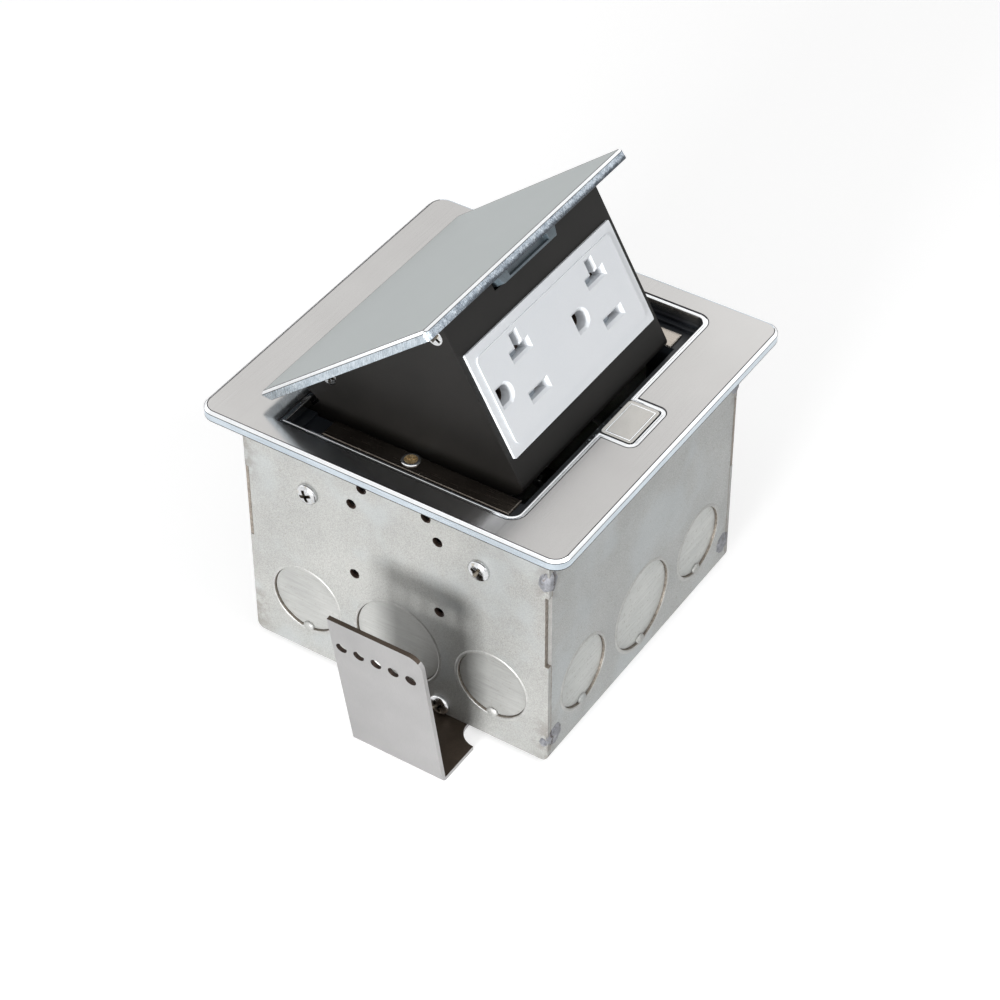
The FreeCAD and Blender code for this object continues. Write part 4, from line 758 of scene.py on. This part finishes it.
piece("box_screw_heads", [
    (pan_screw, standing((side * BOX_X, BOX_MIDDLE + hand * BOX_SCREW_Y, BOX_SCREW_Z), (side, 0, 0), spin))
    for side, hand, spin in ((-1, 1, 22), (-1, -1, 64), (1, 1, 41), (1, -1, 10))
], "housing", "zinc", ("box_screws",), "recess")
piece("bracket_screw_heads", [
    (pan_screw, standing((side * BOX_X, side * BRACKET_SCREW_Y, BRACKET_SCREW_Z), (side, 0, 0), spin))
    for side, spin in ((-1, 35), (1, 75))
], "housing", "zinc", ("bracket_screws",), "recess")
piece("lid_screw_heads", [
    (sunk_screw, RAISED @ standing((side * LID_SCREW_X, y, LID_SCREW_Z), (side, 0, 0), spin))
    for side, y, spin in ((-1, LID_SCREW_FRONT, 20), (-1, LID_SCREW_REAR, 55),
                          (1, LID_SCREW_FRONT, 70), (1, LID_SCREW_REAR, 5))
], "pop_up", "zinc", ("lid_screws",), "recess")
piece("rail_screw_heads", [
    (low_screw, standing((side * RAIL_SCREW_X, 0, RAIL_TOP), (0, 0, 1), spin))
    for side, spin in ((-1, 28), (1, 61))
], "housing", "zinc", ("rail_screws",), "brass_recess")


# Near-black lines of painted shade beside the bright bands of painted highlight, a painted shadow under the
# plate, and beads on the rim and the button


def rounded(corners, steps=10):
    """A closed path from right-angled corners and their radii."""
    path = []
    for i, (x, y, radius) in enumerate(corners):
        spot = Vector((x, y))
        before = (spot - Vector(corners[i - 1][:2])).normalized()
        after = (Vector(corners[(i + 1) % len(corners)][:2]) - spot).normalized()
        if radius <= 0:
            path.append(spot)
            continue
        middle = spot - before * radius + after * radius
        for k in range(steps + 1):
            a = 0.5 * math.pi * k / steps
            path.append(middle - after * radius * math.cos(a) + before * radius * math.sin(a))
    return path


def ring(rows):
    """A closed ring through rows of as many points; the last row joins the first."""
    made = bmesh.new()
    loops = [[made.verts.new(point) for point in row] for row in rows]
    for k in range(len(loops)):
        one, two = loops[k - 1], loops[k]
        for i in range(len(one)):
            made.faces.new((one[i - 1], one[i], two[i], two[i - 1]))
    return as_mesh(made, "ring")


def bead(path_at, profile):
    """A closed ring with a profile of offsets and levels, along a path given at an offset."""
    return ring([[(point.x, point.y, level) for point in path_at(offset)] for offset, level in profile])


def ribbon(path_at, near, far, low, high):
    """A closed flat ring along a path, between two offsets and two levels."""
    return bead(path_at, ((near, low), (far, low), (far, high), (near, high)))


def opening_path(out):
    """The plate's opening with the button notch, moved outward."""
    x, front, rear = OPENING_X + out, OPENING_FRONT - out, OPENING_REAR + out
    notch, deep = NOTCH_X + out, NOTCH_FRONT - out
    corner, small = OPENING_CORNER + out, NOTCH_CORNER + out
    return rounded(((-x, front, corner), (-notch, front, 0), (-notch, deep, small), (notch, deep, small),
                    (notch, front, 0), (x, front, corner), (x, rear, 0), (-x, rear, 0)))


def plate_path(inward):
    """The plate's flat top, moved inward from the start of its bevel."""
    half, radius = PLATE_HALF - inward, PLATE_CORNER - inward
    signs = ((-1, -1), (1, -1), (1, 1), (-1, 1))
    return rounded([(x * half, y * half, radius) for x, y in signs])


def button_path(inset):
    """The outline of the button's groove, moved inward from the button's edge."""
    x = BUTTON_X - inset
    front, rear = BUTTON_MIDDLE - BUTTON_Y + inset, BUTTON_MIDDLE + BUTTON_Y - inset
    return rounded(((-x, front, 0), (x, front, 0), (x, rear, 0), (-x, rear, 0)))


def lid_path(inward):
    """The lid's flat top when shut, moved inward from the start of its bevel."""
    x, front, rear = LID_X - inward, LID_FRONT + inward, LID_REAR - inward
    return rounded(((-x, front, 0.8), (x, front, 0.8), (x, rear, 0), (-x, rear, 0)))


def far_side(mesh):
    """Marks the faces on the +X side of a ring for the piece's second finish."""
    for face in mesh.polygons:
        face.material_index = 1 if face.center.x > abs(face.center.y) else 0
    return mesh


LINE_LOW = PLATE_TOP - 0.03
LINE_HIGH = PLATE_TOP + 0.015
LID_LINE_HIGH = PLATE_TOP + 0.012
RIM_BEAD = ((0.06, 3.78), (0.12, 3.88), (0.28, 3.95), (0.46, 3.96), (0.62, 3.90), (0.70, 3.78))
BUTTON_BEAD = ((0.95, 3.68), (0.98, 3.92), (1.08, 3.99), (1.22, 3.99), (1.32, 3.92), (1.35, 3.68))
piece("plate_lines", [
    (ribbon(opening_path, 1.52, 1.80, LINE_LOW, LINE_HIGH), STILL),
    # The plate's outline line: painted shade on the near sides, painted highlight on the far side.
    (far_side(ribbon(plate_path, 0.30, 0.02, LINE_LOW, LINE_HIGH)), STILL),
    (ribbon(plate_path, -0.78, -0.83, 3.06, 3.26), STILL),
    # A strip under the plate's edge: painted shadow.
    (ribbon(plate_path, -0.78, -0.82, 0.82, 1.02), STILL),
], "housing", "painted_shade_line", (), "plate_side")
piece("lid_lines", [
    (ribbon(lid_path, 0.24, 0.02, LINE_LOW, LID_LINE_HIGH), RAISED),
], "pop_up", "painted_shade_line")
piece("rim_bead", [(bead(opening_path, RIM_BEAD), STILL)], "housing", "painted_highlight")
piece("button_bead", [(bead(button_path, BUTTON_BEAD), STILL)], "button", "painted_highlight")


# Shutters in the blade slots, with near-black plates of painted shade at the slots' bottoms and deep in the
# ground holes


def block(left, right, half, top_left, top_right, base):
    """A block with a sloping, bevelled top."""
    made = bmesh.new()
    corners = [(left, -half), (right, -half), (right, half), (left, half)]
    tops = [top_left, top_right, top_right, top_left]
    low = [made.verts.new((x, y, base)) for x, y in corners]
    high = [made.verts.new((x, y, z)) for (x, y), z in zip(corners, tops)]
    made.faces.new(low)
    made.faces.new(high)
    for i in range(4):
        made.faces.new((low[i - 1], low[i], high[i], high[i - 1]))
    bmesh.ops.recalc_face_normals(made, faces=made.faces)
    bmesh.ops.bevel(made, geom=made.edges[:], offset=0.12, segments=2, affect="EDGES")
    return as_mesh(made, "block")


GROUND_HALF = 2.5
GROUND_FLAT = 2.6
ARC_STEPS = 16


def ground_path(inset):
    """The outline of a ground hole, moved inward."""
    half, flat = GROUND_HALF - inset, GROUND_FLAT - inset
    path = [Vector((-flat, -half))]
    for k in range(ARC_STEPS + 1):
        a = math.pi * k / ARC_STEPS - 0.5 * math.pi
        path.append(Vector((half * math.cos(a), half * math.sin(a))))
    return path + [Vector((-flat, half))]


# Left, right, half width, top at the left, top at the right, base
SHUTTER = (-3.95, 0.9, 1.1, -1.0, -1.8, -2.8)
SLOT_SHADE_PLATE = (-4.0, 4.0, 1.15, -3.0, -3.4, -4.4)
shutters, shade_plates = [], []
for middle in OUTLETS:
    for y in (-BLADE_Y, BLADE_Y):
        shutters.append((block(*SHUTTER), ON_FACE @ moved(middle, y, 0)))
        shade_plates.append((block(*SLOT_SHADE_PLATE), ON_FACE @ moved(middle, y, 0)))
    shade_liner = ribbon(ground_path, 0.32, 0.02, -6.0, -3.0)
    shade_plates.append((shade_liner, ON_FACE @ moved(middle - GROUND_BACK, 0, 0)))
piece("slot_shutters", shutters, "pop_up", "shutter")
# Near-black plates at the slots' bottoms and deep in the ground holes: painted shade.
piece("slot_shade_plates", shade_plates, "pop_up", "rust_and_painted_shade")


# Knockout ties and rims, welds, seams and threads on the box


def lump(half, roughness, seed):
    """A round lump with given half sizes and a rough skin."""
    made = bmesh.new()
    bmesh.ops.create_icosphere(made, subdivisions=3, radius=1.0)
    for vertex in made.verts:
        way = vertex.co.copy()
        swell = 1.0 + roughness * field.fractal(way * 2.3 + Vector((seed, 2 * seed, 0)), 1.0, 2.0, 4)
        vertex.co = Vector((way.x * half[0], way.y * half[1], way.z * half[2])) * swell
    return as_mesh(made, "lump")


RIM_PROFILE = ((0.03, -0.2), (0.06, 0.05), (0.20, 0.17), (0.45, 0.22), (0.75, 0.15), (1.05, 0.03),
               (1.15, -0.04), (1.15, -0.2), (0.03, -0.2))
TIE_THIN, TIE_WIDE, TIE_HIGH = 0.78, 2.0, 1.9
TIE_ROUGH = 0.08
TIE_SINK = 0.45
ties, rims = [], []
for i, (offset, radius) in enumerate(KNOCKOUTS):
    rim = lathe([(radius + out, height) for out, height in RIM_PROFILE], 72)
    z = KNOCKOUT_Z - radius + 0.1
    along = offset + BOX_MIDDLE
    for side in (-1, 1):
        tie = lump((TIE_THIN, TIE_WIDE, TIE_HIGH), TIE_ROUGH, i + side)
        ties.append((tie, moved(side * (BOX_X - TIE_SINK), along, z)))
        rims.append((rim, standing((side * BOX_X, along, KNOCKOUT_Z), (side, 0, 0))))
    for y, way in ((BOX_FRONT, 1), (BOX_REAR, -1)):
        tie = lump((TIE_WIDE, TIE_THIN, TIE_HIGH), TIE_ROUGH, i + 5 * way)
        ties.append((tie, moved(offset, y + way * TIE_SINK, z)))
        rims.append((rim, standing((offset, y, KNOCKOUT_Z), (0, -way, 0))))
piece("knockout_ties", ties, "housing", "galvanised")
piece("knockout_rims", rims, "housing", "galvanised_rim")

welds = []
for side in (-1, 1):
    for y, way, set_in in ((BOX_FRONT, 1, 1.6), (BOX_REAR, -1, 3.4)):
        seed = 3.7 * side + 1.9 * way
        upper = lump((2.7, 2.4, 4.3), 0.16, seed)
        lower = lump((3.7, 0.9, 3.9), 0.20, seed + 1)
        welds.append((upper, moved(side * (BOX_X - set_in), y + way * 1.4, WELD_HIGH)))
        welds.append((lower, moved(side * (BOX_X - 1.8 - set_in), y + way * 0.35, WELD_LOW)))
    spatter = lump((0.8, 1.3, 1.7), 0.30, side + 2)
    welds.append((spatter, moved(side * (BOX_X - 0.25), BOX_FRONT + 1.5, WELD_LOW - 1)))
piece("corner_welds", welds, "housing", "weld")


def strip(width, thick, low, high, seed):
    """An upright strip with ragged sides, about X = 0 and Y = 0."""
    made = bmesh.new()
    steps = max(4, round((high - low) / 1.2))
    rings = []
    for k in range(steps + 1):
        z = low + (high - low) * k / steps
        half = 0.5 * width * (1.0 + 0.5 * field.noise(Vector((seed, 0.7 * z, 0))))
        drift = 0.12 * field.noise(Vector((seed + 9, 0.35 * z, 3)))
        left, right = drift - half, drift + half
        corners = ((left, -thick), (right, -thick), (right, thick), (left, thick))
        rings.append([made.verts.new((x, y, z)) for x, y in corners])
    for one, two in zip(rings, rings[1:]):
        for i in range(4):
            made.faces.new((one[i - 1], one[i], two[i], two[i - 1]))
    made.faces.new(rings[0])
    made.faces.new(rings[-1])
    return as_mesh(made, "strip")


seams = []
for side in (-1, 1):
    for y in (BOX_FRONT, BOX_REAR):
        for low, high in ((SEAM_LOW, SLOT_LOW + 0.2), (SLOT_HIGH - 0.2, SEAM_HIGH)):
            seams.append((strip(0.26, 0.03, low, high, side + 0.1 * y + low), moved(side * SEAM_X, y, 0)))
piece("seam_lines", seams, "housing", "sheared")
HEM_HALF = 12.9
hem = block(-0.74, 0.74, 0.56, HEM_HALF, HEM_HALF, -HEM_HALF)
piece("seam_hems", [
    (hem, moved(side * (BOX_X - 0.8), y - side * 0.6, 0.5 * (SLOT_LOW + SLOT_HIGH)))
    for side, y in ((-1, BOX_REAR - 1.2), (1, BOX_FRONT + 1.2))
], "housing", "sheared")


def thread(radius, across, along, steps=28, tube_steps=6):
    """A closed ring about Z with an oval section."""
    rows = []
    for i in range(steps):
        a = 2 * math.pi * i / steps
        row = []
        for k in range(tube_steps):
            b = 2 * math.pi * k / tube_steps
            reach = radius - across * math.cos(b)
            row.append((reach * math.cos(a), reach * math.sin(a), along * math.sin(b)))
        rows.append(row)
    return ring(rows)


THREAD_DEPTHS = (0.35, 0.8, 1.25)
one_thread = thread(1.62, 0.13, 0.16)
threads = []
for side in (-1, 1):
    for y, z in TAPPED:
        for hand in (-1, 1):
            for deep in THREAD_DEPTHS:
                place = (side * (BOX_X - deep), BOX_MIDDLE + hand * y, z)
                threads.append((one_thread, standing(place, (side, 0, 0))))
piece("hole_threads", threads, "housing", "rust_and_painted_shade")


# Coils for the button and the bolt, copied from the rigid CAD springs and put in their place


def coil(name, node):
    """A copy of a CAD spring that rides on the housing in place of the CAD node."""
    item = bpy.data.objects.new(name, nodes[node].data.copy())
    scene.collection.objects.link(item)
    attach(item, "housing")
    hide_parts(node)
    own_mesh(item)


coil("button_coil", "button_spring")
coil("latch_coils", "latch_springs")


# Floor, light and world, in metres

FLOOR_HALF = 4
FLOOR_DROP = 0.0002
FLOOR_TONE = 0.62
FLOOR_GLOW = 0.57
WORLD_LIGHT = 0.16


def looked_at(tree):
    """1 where the camera, a reflection or a clear body looks at the floor or the backdrop."""
    light_path = node_of(tree, "ShaderNodeLightPath")
    seen = maths(tree, "ADD", light_path.outputs["Is Camera Ray"], light_path.outputs["Is Glossy Ray"])
    return maths(tree, "ADD", seen, light_path.outputs["Is Transmission Ray"])


floor_mesh = bpy.data.meshes.new("floor")
floor_corners = [(x * FLOOR_HALF, y * FLOOR_HALF, 0) for x, y in ((-1, -1), (1, -1), (1, 1), (-1, 1))]
floor_mesh.from_pydata(floor_corners, [], [(0, 1, 2, 3)])
floor = bpy.data.objects.new("floor", floor_mesh)
floor.location.z = cad_low.z - FLOOR_DROP
scene.collection.objects.link(floor)
floor_finish = bpy.data.materials.new("floor")
floor_finish.use_nodes = True
floor_tree = floor_finish.node_tree
floor_shader = floor_tree.nodes["Principled BSDF"]
floor_shader.inputs["Base Color"].default_value = (FLOOR_TONE, FLOOR_TONE, FLOOR_TONE, 1)
floor_shader.inputs["Roughness"].default_value = 0.9
floor_shader.inputs["Specular IOR Level"].default_value = 0.1
floor_shader.inputs["Emission Color"].default_value = (1, 1, 1, 1)
floor_glow = fade(floor_tree, looked_at(floor_tree), 0.0, 1.0, 0.0, FLOOR_GLOW)
floor_tree.links.new(floor_glow, floor_shader.inputs["Emission Strength"])
floor_mesh.materials.append(floor_finish)
floor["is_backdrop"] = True


def lamp(name, place, width, height, power):
    """A soft rectangular light aimed at the middle of the part."""
    data = bpy.data.lights.new(name, "AREA")
    data.shape = "RECTANGLE"
    data.size = width
    data.size_y = height
    data.energy = power
    item = bpy.data.objects.new(name, data)
    item.location = place
    item.rotation_mode = "QUATERNION"
    item.rotation_quaternion = (-Vector(place)).to_track_quat("-Z", "Y")
    scene.collection.objects.link(item)


# Each lamp: name, place, width, height, power in watts
lamp("side", (-1.2, -0.16, 0.10), 0.34, 0.26, 18.5)
lamp("key", (-1.1, -0.5, 0.9), 0.9, 0.9, 1)
lamp("top", (-0.7, -0.5, 1.4), 3.0, 3.0, 17)
lamp("fill", (0.2, -1.2, 0.9), 0.9, 0.9, 4.6)
lamp("right", (1.3, -0.3, 0.6), 1.8, 1.2, 2.5)
lamp("rear", (0.1, 1.3, 0.6), 1.8, 1.2, 4)

world = bpy.data.worlds.new("world")
world.use_nodes = True
scene.world = world
world_tree = world.node_tree
backdrop = world_tree.nodes["Background"]
backdrop.inputs["Color"].default_value = (1, 1, 1, 1)
world_light = fade(world_tree, looked_at(world_tree), 0.0, 1.0, WORLD_LIGHT, 1.0)
world_tree.links.new(world_light, backdrop.inputs["Strength"])

low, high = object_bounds()
